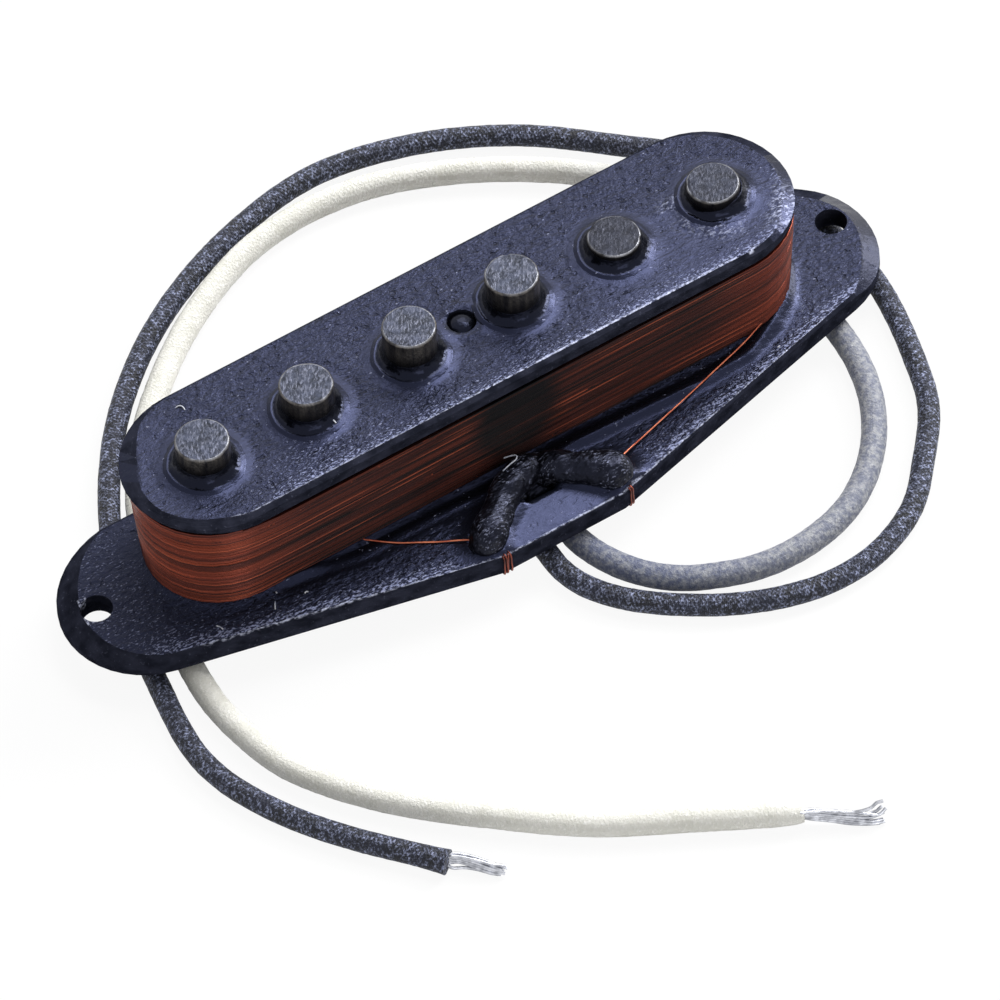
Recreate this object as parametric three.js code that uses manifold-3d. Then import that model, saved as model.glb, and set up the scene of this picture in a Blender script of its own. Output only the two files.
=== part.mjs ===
// Guitar pickup: one coil round six staggered rod magnets, held between two fibre plates,
// with two cloth-covered leads. Lengths are in millimetres and angles in radians.
// X runs along the row of magnets, Y from the front to the back and Z up.
// The magnets' feet stand on Z = 0, and the origin is at the middle of the pickup's outline.

import * as THREE from 'three';
import { mergeVertices } from 'three/addons/utils/BufferGeometryUtils.js';
import Module from 'manifold-3d';

const wasm = await Module();
wasm.setup();

// Clearance between pieces that sit in or on each other, and the overrun of every cutter
const fitGap = 0.3;
const cutOverrun = 1;

// Rod magnets, with the heights of their poles above the upper plate
const magnetSpacing = 10.48;
const magnetDiameter = 4.8;
const magnetChamfer = 0.35;
const tallestPole = 3.9;
const poleHeightShares = [0.82, 0.87, 1, 0.95, 0.435, 0.5];
const magnetFootDrop = 2.7;

// Lower plate: a boat shape with a round tab at each end, edges measured from the magnet row
const lowerPlateThickness = 2.2;
const lowerPlateLength = 82.7;
const lowerPlateBackReach = 7.4;
const lowerPlateFrontReach = 15.4;
const frontEdgeLength = 12.54;
const tabRadius = 7.95;
const tabBevelWidth = 1.9;
const tabBevelDrop = 1.35;
const plateEdgeBreak = 0.15;
const screwHoleDiameter = 2.9;
const screwHoleEndInset = 3.2;

// Upper plate: a racetrack that sits a little behind the magnet row
const upperPlateThickness = 1.6;
const upperPlateWidth = 15.72;
const upperPlateLength = 66.6;
const upperPlateSetBack = 0.46;
const upperBevelWidth = 1.7;
const upperBevelDrop = 0.6;
const upperUnderWidth = 0.9;
const upperUnderRise = 0.95;
const alignmentHoleDiameter = 2.4;
const alignmentHoleSetBack = 0.74;

// How the plates' edges were sanded round their ends, as shares of the full bevels above, at even
// steps from the front to the back of each end. No two ends are alike.
const lowerLeftEnd = {
  topWidthShares: [0.12, 0.32, 0.57, 0.82, 0.95, 1.08, 0.95, 0.6, 0.12],
  topDropShares: [0.5, 0.68, 0.82, 1, 1, 1, 0.9, 0.6, 0.1],
  underShares: [0, 0],
};
const lowerRightEnd = {
  topWidthShares: [0.1, 0.62, 0.86, 0.84, 0.8, 0.92, 0.95, 0.6, 0.12],
  topDropShares: [0.08, 0.75, 1, 0.95, 0.9, 0.85, 0.85, 0.6, 0.1],
  underShares: [0, 0],
};
const upperLeftEnd = {
  topWidthShares: [0.26, 0.5, 0.45, 0.4, 0.6, 1, 0.82, 0.34, 0.1],
  topDropShares: [0.3, 0.6, 0.6, 0.6, 0.6, 0.8, 0.8, 0.5, 0.2],
  underShares: [0.15, 0.55, 0.8, 1, 1, 0.8, 0.6, 0.3, 0.1],
};
const upperRightEnd = {
  topWidthShares: [0.16, 0.28, 0.63, 0.62, 0.6, 0.58, 0.5, 0.3, 0.1],
  topDropShares: [0.2, 0.5, 1, 1, 1, 0.9, 0.7, 0.5, 0.2],
  underShares: [0.1, 0.3, 0.35, 0.4, 0.4, 0.4, 0.3, 0.2, 0.1],
};
const plainEnd = { topWidthShares: [0, 0], topDropShares: [0, 0], underShares: [0, 0] };

// Coil: a racetrack that is narrower at its foot, with its outer turns drawn thicker than the wire
const coilHeight = 9.98;
const coilTopWidth = 15;
const coilFootWidth = 13.8;
const coilStraightLength = 51;
const wireDiameter = 0.3;
const turnPitch = 0.72;
const finishWireExit = 16.6;
const startWireExit = 24.8;

// Eyelets in the lower plate, with the solder joint on each
const eyeletSpacing = 12.8;
const eyeletReach = 13;
const eyeletBore = 1.4;
const eyeletBarrelDiameter = 2;
const eyeletFlangeDiameter = 3.2;
const eyeletFlangeThickness = 0.3;
const eyeletLipDiameter = 3;
const eyeletLipThickness = 0.25;
const solderStemLength = 0.8;
const solderDomeDiameter = 3;
const solderDomeHeight = 1.5;

// Leads: cloth jackets, the bare cores in them and the slot that both pass through
const blackLeadDiameter = 2;
const whiteLeadDiameter = 2.3;
const leadCoreDiameter = 0.7;
const leadCoreLength = 1.1;
const slotReach = 9.8;
const slotSideClearance = 0.45;
const slotLeadGap = 0.8;
const anchorReach = 13.4;
const strandDiameter = 0.34;
const strandStubLength = 0.6;
const blackStrandSpread = 0.42;
const whiteStrandSpread = 0.5;

// Ends of the coil wire, lashed over the lower plate's front edge beside each eyelet
const lashingPitch = 0.75;
const leftLashingStart = 0.05;
const rightLashingStart = 0.15;
const leftLashingPasses = 2;
const rightLashingPasses = 2;

// Counts of steps round curves
const magnetSides = 32;
const holeSides = 28;
const tabSteps = 20;
const upperEndSteps = 22;
const coreEndSteps = 16;
const turnEndSteps = 11;
const eyeletSides = 24;
const quarterSteps = 4;
const leadSides = 8;
const wireSides = 6;
const strandCount = 7;
const strandsAcross = 3;
const strandSteps = 6;
const tailSteps = 2;
const stepsPerPoint = 4;

// The outer layer's last part of a turn, and how upright a path may start before X serves as its side
const lastTurnShare = 0.5;
const uprightShare = 0.9;

// Heights and half sizes that follow from the sizes above
const lowerPlateTop = magnetFootDrop + lowerPlateThickness;
const upperPlateBottom = lowerPlateTop + coilHeight;
const upperPlateTop = upperPlateBottom + upperPlateThickness;
const magnetRadius = magnetDiameter / 2;
const wireRadius = wireDiameter / 2;
const wireStandOff = fitGap + wireRadius;
const coilHalfStraight = coilStraightLength / 2;
const tabCentre = new THREE.Vector2(lowerPlateLength / 2 - tabRadius, lowerPlateBackReach - tabRadius);
const frontCorner = new THREE.Vector2(frontEdgeLength / 2, -lowerPlateFrontReach);
const cornerToTab = tabCentre.clone().sub(frontCorner);
const facetAngle = cornerToTab.angle() - Math.asin(tabRadius / cornerToTab.length());

// The row lies behind the middle of the outline, from the lashings in front to the upper plate behind
const frontReach = lowerPlateFrontReach + fitGap + wireDiameter;
const backReach = upperPlateWidth / 2 + upperPlateSetBack;
const rowY = (frontReach - backReach) / 2;

// Routes of the free leads on the surface below, from the front edge to the bare ends, as chosen
const blackRoute = [
  [-1.4, -9.86, 1.4], [-1.42, -10.9, 1.35], [-1.35, -12.7, 1.1], [-0.8, -14.9, 1], [0.35, -17.1, 1],
  [1.7, -18.85, 1], [3.1, -20.25, 1], [5.2, -22.0, 1], [8.7, -24.35, 1], [13, -26.3, 1], [17.6, -27.25, 1],
  [22.5, -26.8, 1], [27.5, -24.5, 1], [31.5, -20.5, 1], [35.1, -15.95, 1], [37.2, -10.55, 1],
  [38.7, -2.35, 1], [38.9, 3.85, 1], [38.2, 9.85, 1], [36.3, 15.85, 1], [33.5, 20.65, 1],
  [29.5, 24.75, 1], [22.5, 31.15, 1], [14.2, 35.65, 1], [4.7, 37.75, 1], [-5.4, 35.9, 1],
  [-15.1, 31.45, 1], [-23.3, 24.85, 1], [-29.4, 16.9, 1], [-34.2, 6.85, 1], [-36.6, -2.95, 1],
  [-37.9, -11.45, 1], [-37.4, -15.65, 1], [-36, -19.65, 1], [-33.9, -23.65, 1], [-31, -27.85, 1],
  [-28.5, -30.95, 1], [-26.3, -33.75, 1],
];
const whiteRoute = [
  [1.55, -9.86, 1.25], [1.58, -10.9, 1.22], [2.1, -13.1, 1.15], [3.1, -15.45, 1.15], [4.5, -17.55, 1.15],
  [6.2, -19.25, 1.15], [8.2, -20.55, 1.15], [12.8, -22.35, 1.15], [17.8, -22.65, 1.15], [23.1, -21.25, 1.15],
  [27.8, -17.75, 1.15], [31.1, -13.05, 1.15], [32.9, -7.65, 1.15], [33.5, 0.85, 1.15], [33.2, 6.85, 1.15],
  [31.8, 12.85, 1.15], [28.8, 19.05, 1.15], [24.1, 24.55, 1.15], [16, 30.35, 1.15], [6.8, 33.95, 1.15],
  [-3.4, 33.85, 1.15], [-13.6, 29.25, 1.15], [-23.1, 21.15, 1.15], [-27.6, 14.9, 1.15], [-30.2, 9.35, 1.15],
  [-32, 3.85, 1.15], [-33.8, -7.05, 1.15], [-33.5, -12.25, 1.15], [-32.3, -17.25, 1.15],
  [-30.2, -21.15, 1.15], [-27.5, -24.85, 1.15], [-24.4, -28.25, 1.15], [-21, -31.45, 1.15],
  [-14, -37.45, 1.15], [-6.2, -42.15, 1.15], [1.4, -46.65, 1.15],
];
const blackStrandRoute = [[-26.1, -34.0, 1], [-25.35, -34.55, 0.95], [-24.2, -35.6, 0.8], [-22.8, -37.1, 0.62]];
const whiteStrandRoute = [[1.66, -46.8, 1.15], [2.6, -47.35, 1.1], [4.7, -48.65, 0.9], [7.1, -50.2, 0.7]];
const blackLeadSteps = 42;
const whiteLeadSteps = 38;

// Turns a closed mesh into a solid that can be cut and joined.
function toSolid(geometry) {
  const bare = geometry.clone();
  bare.deleteAttribute('normal');
  bare.deleteAttribute('uv');
  const merged = mergeVertices(bare);
  return new wasm.Manifold(new wasm.Mesh({
    numProp: 3,
    vertProperties: new Float32Array(merged.attributes.position.array),
    triVerts: new Uint32Array(merged.index.array),
  }));
}

// Turns a solid back into a mesh with a flat normal on each face.
function toGeometry(solid) {
  const mesh = solid.getMesh();
  const shared = new THREE.BufferGeometry();
  shared.setAttribute('position', new THREE.BufferAttribute(mesh.vertProperties, 3));
  shared.setIndex(new THREE.BufferAttribute(mesh.triVerts, 1));
  return withFlatNormals(shared);
}

function withFlatNormals(shared) {
  const geometry = shared.toNonIndexed();
  geometry.computeVertexNormals();
  return geometry;
}

// A straight round cutter or pin along Z, between two heights.
function uprightCylinder(x, y, radius, bottom, top, sides) {
  const cylinder = new THREE.CylinderGeometry(radius, radius, top - bottom, sides);
  return cylinder.rotateX(Math.PI / 2).translate(x, y, (bottom + top) / 2);
}

// Cuts round holes and other cutters out of a plate.
function cutAway(plate, cutters) {
  let solid = toSolid(plate);
  for (const cutter of cutters) {
    solid = solid.subtract(toSolid(cutter));
  }
  return toGeometry(solid);
}

// Skins rings of points that run anticlockwise seen from above, either capped at both ends
// or, when looped, joined from the last ring back to the first.
function skinRings(rings, looped) {
  const count = rings[0].length;
  const positions = rings.flat().flatMap((point) => [point.x, point.y, point.z]);
  const indices = [];
  const lastRing = looped ? rings.length : rings.length - 1;
  for (let ring = 0; ring < lastRing; ring += 1) {
    const above = (ring + 1) % rings.length;
    for (let place = 0; place < count; place += 1) {
      const next = (place + 1) % count;
      const corners = [ring * count + place, ring * count + next, above * count + next, above * count + place];
      indices.push(corners[0], corners[1], corners[2], corners[0], corners[2], corners[3]);
    }
  }
  if (!looped) {
    const topStart = (rings.length - 1) * count;
    for (const [a, b, c] of THREE.ShapeUtils.triangulateShape(rings[0], [])) {
      indices.push(c, b, a);
    }
    for (const [a, b, c] of THREE.ShapeUtils.triangulateShape(rings[rings.length - 1], [])) {
      indices.push(topStart + a, topStart + b, topStart + c);
    }
  }
  const geometry = new THREE.BufferGeometry();
  geometry.setAttribute('position', new THREE.Float32BufferAttribute(positions, 3));
  geometry.setIndex(indices);
  return geometry;
}

// The value of a table of shares part of the way along it.
function shareAt(shares, fraction) {
  const position = fraction * (shares.length - 1);
  const index = Math.min(Math.floor(position), shares.length - 2);
  return THREE.MathUtils.lerp(shares[index], shares[index + 1], position - index);
}

// One point of an outline, with its direction inward and how far the plate's edge is sanded there.
function edgePoint(place, inward, end, fraction) {
  return {
    place,
    inward,
    topWidthShare: shareAt(end.topWidthShares, fraction),
    topDropShare: shareAt(end.topDropShares, fraction),
    underShare: shareAt(end.underShares, fraction),
  };
}

// The round end of a plate on its right side, from front to back.
function endArc(centre, radius, firstAngle, steps, end) {
  const points = [];
  for (let step = 0; step <= steps; step += 1) {
    const angle = THREE.MathUtils.lerp(firstAngle, Math.PI / 2, step / steps);
    const outward = new THREE.Vector2(Math.cos(angle), Math.sin(angle));
    const place = centre.clone().addScaledVector(outward, radius);
    points.push(edgePoint(place, outward.negate(), end, step / steps));
  }
  return points;
}

// Turns the points of a right side into those of a left side, from back to front.
function toLeftSide(points) {
  const flip = (vector) => new THREE.Vector2(-vector.x, vector.y);
  const flipped = points.map((point) => ({ ...point, place: flip(point.place), inward: flip(point.inward) }));
  return flipped.reverse();
}

function lowerPlateSide(end) {
  const mitre = new THREE.Vector2(-Math.sin(facetAngle / 2), Math.cos(facetAngle / 2));
  mitre.divideScalar(Math.cos(facetAngle / 2));
  const corner = edgePoint(frontCorner, mitre, plainEnd, 0);
  return [corner, ...endArc(tabCentre, tabRadius, facetAngle - Math.PI / 2, tabSteps, end)];
}

function upperPlateSide(end) {
  const radius = upperPlateWidth / 2;
  const centre = new THREE.Vector2(upperPlateLength / 2 - radius, upperPlateSetBack);
  return endArc(centre, radius, -Math.PI / 2, upperEndSteps, end);
}

// A plate whose upper and lower edges are sanded off by up to the full bevels given.
function sandedPlate(outline, bottom, thickness, bevel) {
  const sanded = (full, share) => THREE.MathUtils.lerp(plateEdgeBreak, full, share);
  const rings = [[], [], [], []];
  for (const { place, inward, topWidthShare, topDropShare, underShare } of outline) {
    const under = place.clone().addScaledVector(inward, sanded(bevel.underWidth, underShare));
    const inner = place.clone().addScaledVector(inward, sanded(bevel.topWidth, topWidthShare));
    const lowerShoulder = bottom + sanded(bevel.underRise, underShare);
    const upperShoulder = bottom + thickness - sanded(bevel.topDrop, topDropShare);
    rings[0].push(new THREE.Vector3(under.x, under.y, bottom));
    rings[1].push(new THREE.Vector3(place.x, place.y, lowerShoulder));
    rings[2].push(new THREE.Vector3(place.x, place.y, upperShoulder));
    rings[3].push(new THREE.Vector3(inner.x, inner.y, bottom + thickness));
  }
  return skinRings(rings, false);
}

function magnetX(index) {
  return (index - (poleHeightShares.length - 1) / 2) * magnetSpacing;
}

// Cutters for the magnets' holes, which leave room for the lacquer that holds them.
function magnetHoles(bottom, top) {
  return poleHeightShares.map((share, index) => uprightCylinder(
    magnetX(index), 0, magnetRadius + fitGap, bottom - cutOverrun, top + cutOverrun, holeSides));
}

// Half the length and half the width of the slot that both leads pass through.
const slotHalfWidth = whiteLeadDiameter / 2 + slotSideClearance;
const slotHalfLength = slotLeadGap / 2 + whiteLeadDiameter + fitGap;

function slotCutter() {
  const endX = slotHalfLength - slotHalfWidth;
  const shape = new THREE.Shape();
  shape.absarc(endX, 0, slotHalfWidth, -Math.PI / 2, Math.PI / 2);
  shape.absarc(-endX, 0, slotHalfWidth, Math.PI / 2, Math.PI * 1.5);
  const depth = lowerPlateThickness + 2 * cutOverrun;
  const cutter = new THREE.ExtrudeGeometry(shape, { depth, bevelEnabled: false, curveSegments: holeSides / 2 });
  return cutter.translate(0, -slotReach, magnetFootDrop - cutOverrun);
}

function lowerPlate() {
  const bottom = magnetFootDrop - cutOverrun;
  const top = lowerPlateTop + cutOverrun;
  const cutters = magnetHoles(magnetFootDrop, lowerPlateTop);
  const eyeletHoleRadius = eyeletBarrelDiameter / 2 + fitGap;
  for (const side of [-1, 1]) {
    const screwX = side * (lowerPlateLength / 2 - screwHoleEndInset);
    cutters.push(uprightCylinder(screwX, 0, screwHoleDiameter / 2, bottom, top, holeSides));
    const eyeletX = side * eyeletSpacing / 2;
    cutters.push(uprightCylinder(eyeletX, -eyeletReach, eyeletHoleRadius, bottom, top, holeSides));
  }
  cutters.push(slotCutter());
  const outline = [...lowerPlateSide(lowerRightEnd), ...toLeftSide(lowerPlateSide(lowerLeftEnd))];
  const bevel = {
    topWidth: tabBevelWidth, topDrop: tabBevelDrop, underWidth: plateEdgeBreak, underRise: plateEdgeBreak,
  };
  return cutAway(sandedPlate(outline, magnetFootDrop, lowerPlateThickness, bevel), cutters);
}

function upperPlate() {
  const bottom = upperPlateBottom - cutOverrun;
  const top = upperPlateTop + cutOverrun;
  const cutters = magnetHoles(upperPlateBottom, upperPlateTop);
  cutters.push(uprightCylinder(0, alignmentHoleSetBack, alignmentHoleDiameter / 2, bottom, top, holeSides));
  const outline = [...upperPlateSide(upperRightEnd), ...toLeftSide(upperPlateSide(upperLeftEnd))];
  const bevel = {
    topWidth: upperBevelWidth, topDrop: upperBevelDrop,
    underWidth: upperUnderWidth, underRise: upperUnderRise,
  };
  return cutAway(sandedPlate(outline, upperPlateBottom, upperPlateThickness, bevel), cutters);
}

// A turned piece about Z from a profile of radius and height pairs, from its foot to its top.
function turned(profile, sides) {
  const points = profile.map(([radius, height]) => new THREE.Vector2(radius, height));
  return new THREE.LatheGeometry(points, sides).rotateX(Math.PI / 2);
}

function magnet(heightShare) {
  const top = upperPlateTop + tallestPole * heightShare;
  const faceRadius = magnetRadius - magnetChamfer;
  return turned([
    [0, 0], [faceRadius, 0], [magnetRadius, magnetChamfer],
    [magnetRadius, top - magnetChamfer], [faceRadius, top], [0, top],
  ], magnetSides);
}

// The coil's outside half width at a height, which grows from its foot to its top.
function coilHalfWidth(height) {
  const share = (height - lowerPlateTop) / coilHeight;
  return (coilFootWidth + (coilTopWidth - coilFootWidth) * share) / 2;
}

function racetrackRing(halfStraight, radius, height, steps) {
  const ring = [];
  for (const side of [1, -1]) {
    for (let step = 0; step <= steps; step += 1) {
      const angle = Math.PI * (step / steps - side / 2);
      const x = side * halfStraight + radius * Math.cos(angle);
      ring.push(new THREE.Vector3(x, radius * Math.sin(angle), height));
    }
  }
  return ring;
}

// The windings inside the outer layer, round a slot that clears the magnets.
function coilCore() {
  const chordSag = (coilTopWidth / 2) * (1 - Math.cos(Math.PI / 2 / turnEndSteps));
  const inset = wireDiameter + chordSag + fitGap;
  const slotHalfStraight = magnetX(poleHeightShares.length - 1);
  const slotRadius = magnetRadius + fitGap;
  const heights = [lowerPlateTop, upperPlateBottom];
  const outer = heights.map((height) => racetrackRing(
    coilHalfStraight, coilHalfWidth(height) - inset, height, coreEndSteps));
  const inner = heights.map((height) => racetrackRing(slotHalfStraight, slotRadius, height, coreEndSteps));
  return withFlatNormals(skinRings([outer[0], outer[1], inner[1], inner[0]], true));
}

// The path of the outer layer: whole turns and a last half turn, from its front end at the foot
// to its back end under the upper plate, climbing steadily.
function outerLayerPath() {
  const lowest = lowerPlateTop + wireStandOff;
  const climb = coilHeight - 2 * wireStandOff;
  const wholeTurns = Math.floor(climb / turnPitch - lastTurnShare);
  const bends = [{ x: -finishWireExit, angle: -Math.PI / 2 }];
  for (let end = 0; end <= 2 * wholeTurns; end += 1) {
    const side = end % 2 === 0 ? -1 : 1;
    for (let step = 0; step <= turnEndSteps; step += 1) {
      bends.push({ x: side * coilHalfStraight, angle: Math.PI * (side / 2 - step / turnEndSteps) });
    }
  }
  bends.push({ x: 0, angle: Math.PI / 2 });
  const place = ({ x, angle }, height) => {
    const radius = coilHalfWidth(height) - wireRadius;
    return new THREE.Vector3(x + radius * Math.cos(angle), radius * Math.sin(angle), height);
  };
  const travelled = [0];
  for (let index = 1; index < bends.length; index += 1) {
    const stride = place(bends[index], lowest).distanceTo(place(bends[index - 1], lowest));
    travelled.push(travelled[index - 1] + stride);
  }
  const whole = travelled[travelled.length - 1];
  return bends.map((bend, index) => place(bend, lowest + climb * travelled[index] / whole));
}

// A tube of one unbroken skin along points, with its rings turned no more than the path turns them.
function woundTube(path, diameter, sides) {
  const positions = [];
  const indices = [];
  const across = new THREE.Vector3();
  const forwards = path.map((point, index) => {
    const before = path[Math.max(index - 1, 0)];
    const after = path[Math.min(index + 1, path.length - 1)];
    const arriving = point.clone().sub(before).normalize();
    const leaving = after.clone().sub(point).normalize();
    return arriving.add(leaving).normalize();
  });
  const isUpright = Math.abs(forwards[0].z) > uprightShare;
  const sideAxis = isUpright ? new THREE.Vector3(1, 0, 0) : new THREE.Vector3(0, 0, 1);
  across.crossVectors(forwards[0], sideAxis).normalize();
  path.forEach((point, index) => {
    const forward = forwards[index];
    across.addScaledVector(forward, -across.dot(forward)).normalize();
    const upward = new THREE.Vector3().crossVectors(forward, across);
    for (let side = 0; side < sides; side += 1) {
      const angle = 2 * Math.PI * side / sides;
      const corner = point.clone().addScaledVector(across, Math.cos(angle) * diameter / 2);
      corner.addScaledVector(upward, Math.sin(angle) * diameter / 2);
      positions.push(corner.x, corner.y, corner.z);
    }
  });
  for (let ring = 0; ring < path.length - 1; ring += 1) {
    for (let side = 0; side < sides; side += 1) {
      const near = [ring * sides + side, ring * sides + (side + 1) % sides];
      const far = [near[0] + sides, near[1] + sides];
      indices.push(near[0], near[1], far[1], near[0], far[1], far[0]);
    }
  }
  const lastRing = (path.length - 1) * sides;
  for (let side = 1; side < sides - 1; side += 1) {
    indices.push(0, side + 1, side, lastRing, lastRing + side, lastRing + side + 1);
  }
  const geometry = new THREE.BufferGeometry();
  geometry.setAttribute('position', new THREE.Float32BufferAttribute(positions, 3));
  geometry.setIndex(indices);
  return withFlatNormals(geometry);
}

// Points along a path at most one spacing apart, each with the length travelled to it.
function samplePath(path, spacing) {
  const samples = [];
  let travelled = 0;
  for (let index = 1; index < path.length; index += 1) {
    const stride = path[index].distanceTo(path[index - 1]);
    const parts = Math.ceil(stride / spacing);
    for (let part = 0; part < parts; part += 1) {
      const point = path[index - 1].clone().lerp(path[index], part / parts);
      samples.push({ point, travelled: travelled + stride * part / parts });
    }
    travelled += stride;
  }
  return samples;
}

// Prints the least gap from a wound tube to itself, measured on points that are far apart along it.
function printLeastGap(name, path, diameter, neighbourLength) {
  const samples = samplePath(path, diameter);
  let least = Infinity;
  for (let first = 0; first < samples.length; first += 1) {
    for (let second = first + 1; second < samples.length; second += 1) {
      if (samples[second].travelled - samples[first].travelled > neighbourLength) {
        least = Math.min(least, samples[first].point.distanceTo(samples[second].point));
      }
    }
  }
  console.log(`${name}: least gap to itself ${(least - diameter).toFixed(3)} mm`);
}

function outerLayer() {
  const path = outerLayerPath();
  printLeastGap('coil_outer_layer', path, wireDiameter, coilFootWidth);
  return woundTube(path, wireDiameter, wireSides);
}

function roundSection(diameter, sides) {
  const corners = [];
  for (let side = 0; side < sides; side += 1) {
    const angle = 2 * Math.PI * side / sides;
    corners.push(new THREE.Vector2(Math.cos(angle), Math.sin(angle)).multiplyScalar(diameter / 2));
  }
  return new THREE.Shape(corners);
}

// A round tube on a smooth curve through the points.
function tubeAlong(points, diameter, sides, steps) {
  const extrudePath = new THREE.CatmullRomCurve3(points, false, 'centripetal');
  const section = roundSection(diameter, sides);
  return new THREE.ExtrudeGeometry(section, { steps, extrudePath, bevelEnabled: false });
}

function toVectors(route) {
  return route.map(([x, y, z]) => new THREE.Vector3(x, y, z));
}

// Where each eyelet stands, on the left at side -1 and on the right at side 1.
function eyeletPlace(side) {
  return new THREE.Vector2(side * eyeletSpacing / 2, -eyeletReach);
}

// A tube rivet: its flange lies on the lower plate and its lip is rolled over underneath.
function eyelet() {
  const bore = eyeletBore / 2;
  const barrel = eyeletBarrelDiameter / 2;
  const lip = eyeletLipDiameter / 2;
  const flange = eyeletFlangeDiameter / 2;
  const lipBottom = magnetFootDrop - eyeletLipThickness;
  const flangeTop = lowerPlateTop + eyeletFlangeThickness;
  return turned([
    [bore, lipBottom], [lip, lipBottom], [lip, magnetFootDrop], [barrel, magnetFootDrop],
    [barrel, lowerPlateTop], [flange, lowerPlateTop], [flange, flangeTop], [bore, flangeTop],
    [bore, lipBottom],
  ], eyeletSides);
}

// A dome of solder on the flange, with a stem that reaches down the bore.
function solderJoint() {
  const seat = lowerPlateTop + eyeletFlangeThickness;
  const stem = eyeletBore / 2 - fitGap;
  const profile = [[0, seat - solderStemLength], [stem, seat - solderStemLength], [stem, seat]];
  for (let step = 0; step <= quarterSteps; step += 1) {
    const angle = Math.PI / 2 * (step / quarterSteps);
    const height = seat + solderDomeHeight * Math.sin(angle);
    const radius = step === quarterSteps ? 0 : solderDomeDiameter / 2 * Math.cos(angle);
    profile.push([radius, height]);
  }
  return turned(profile, eyeletSides);
}

// One end of the coil wire on the lower plate, from its start to the eyelet's flange. The sways are
// pairs of shares of its length: how far along, and how far towards the front.
function coilWire(start, side, swayShares) {
  const centre = eyeletPlace(side);
  const fromEyelet = start.clone().sub(centre).normalize();
  const end = centre.addScaledVector(fromEyelet, eyeletFlangeDiameter / 2 + fitGap);
  const run = end.clone().sub(start);
  const frontward = new THREE.Vector2(run.y, -run.x).multiplyScalar(Math.sign(run.x));
  const height = lowerPlateTop + wireStandOff;
  const points = [new THREE.Vector3(start.x, start.y, height)];
  for (const [alongShare, swayShare] of swayShares) {
    const place = start.clone().addScaledVector(run, alongShare).addScaledVector(frontward, swayShare);
    points.push(new THREE.Vector3(place.x, place.y, height));
  }
  points.push(new THREE.Vector3(end.x, end.y, height));
  return tubeAlong(points, wireDiameter, wireSides, stepsPerPoint * points.length);
}

// The finish wire carries on from the outer layer's lowest turn to the left eyelet.
function finishWire() {
  const footHalfWidth = coilHalfWidth(lowerPlateTop + wireStandOff) - wireRadius;
  const start = new THREE.Vector2(-finishWireExit + fitGap, -footHalfWidth);
  const swayShares = [[0.06, -0.035], [0.45, 0.015], [0.75, 0.03]];
  return coilWire(start, -1, swayShares);
}

// The start wire comes out at the coil's foot and runs to the right eyelet.
function startWire() {
  const start = new THREE.Vector2(startWireExit, -coilHalfWidth(lowerPlateTop + wireStandOff) - wireStandOff);
  const swayShares = [[0.32, 0.015], [0.52, 0.008], [0.74, -0.008]];
  return coilWire(start, 1, swayShares);
}

// One pass of a lashing round the plate's edge, from the top to the underside. Its points are
// distances along the edge, inward from the edge, and up.
function lashingPass(along, topRun, bottomRun) {
  const points = [new THREE.Vector3(along, topRun, lowerPlateTop + wireStandOff)];
  const corners = [[lowerPlateTop, 0], [magnetFootDrop, Math.PI / 2]];
  for (const [height, turn] of corners) {
    for (let step = 0; step <= quarterSteps; step += 1) {
      const angle = Math.PI / 2 * (step / quarterSteps) + turn;
      const inward = -wireStandOff * Math.sin(angle);
      points.push(new THREE.Vector3(along, inward, height + wireStandOff * Math.cos(angle)));
    }
  }
  points.push(new THREE.Vector3(along, bottomRun, magnetFootDrop - wireStandOff));
  return points;
}

// The half turn that carries a lashing from one pass to the next, above or below the plate.
function lashingReturn(along, height) {
  const points = [];
  for (let step = 1; step < 2 * quarterSteps; step += 1) {
    const angle = Math.PI * (step / (2 * quarterSteps));
    const x = along + lashingPitch / 2 * (1 - Math.cos(angle));
    points.push(new THREE.Vector3(x, lashingPitch / 2 * Math.sin(angle) + wireRadius, height));
  }
  return points;
}

// A lashing of the coil wire over the front edge. The edge starts at the corner and runs at an angle.
function lashing(name, corner, edgeAngle, startAlong, passes) {
  const along = new THREE.Vector2(Math.cos(edgeAngle), Math.sin(edgeAngle));
  const inward = new THREE.Vector2(-along.y, along.x);
  const eyeletInward = eyeletPlace(Math.sign(corner.x)).sub(corner).dot(inward);
  const endRun = eyeletInward - eyeletFlangeDiameter / 2 - fitGap;
  const local = [];
  for (let pass = 0; pass < passes; pass += 1) {
    const place = startAlong + pass * lashingPitch;
    const goesDown = pass % 2 === 0;
    const isLast = pass === passes - 1;
    const topRun = (goesDown && pass === 0) || (!goesDown && isLast) ? endRun : wireRadius;
    const bottomRun = goesDown && isLast ? endRun : wireRadius;
    const points = lashingPass(place, topRun, bottomRun);
    local.push(...(goesDown ? points : points.reverse()));
    if (!isLast) {
      const side = goesDown ? magnetFootDrop - wireStandOff : lowerPlateTop + wireStandOff;
      local.push(...lashingReturn(place, side));
    }
  }
  const path = local.map((point) => {
    const place = corner.clone().addScaledVector(along, point.x).addScaledVector(inward, point.y);
    return new THREE.Vector3(place.x, place.y, point.z);
  });
  printLeastGap(name, path, wireDiameter, 2 * lashingPitch);
  return woundTube(path, wireDiameter, wireSides);
}

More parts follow.
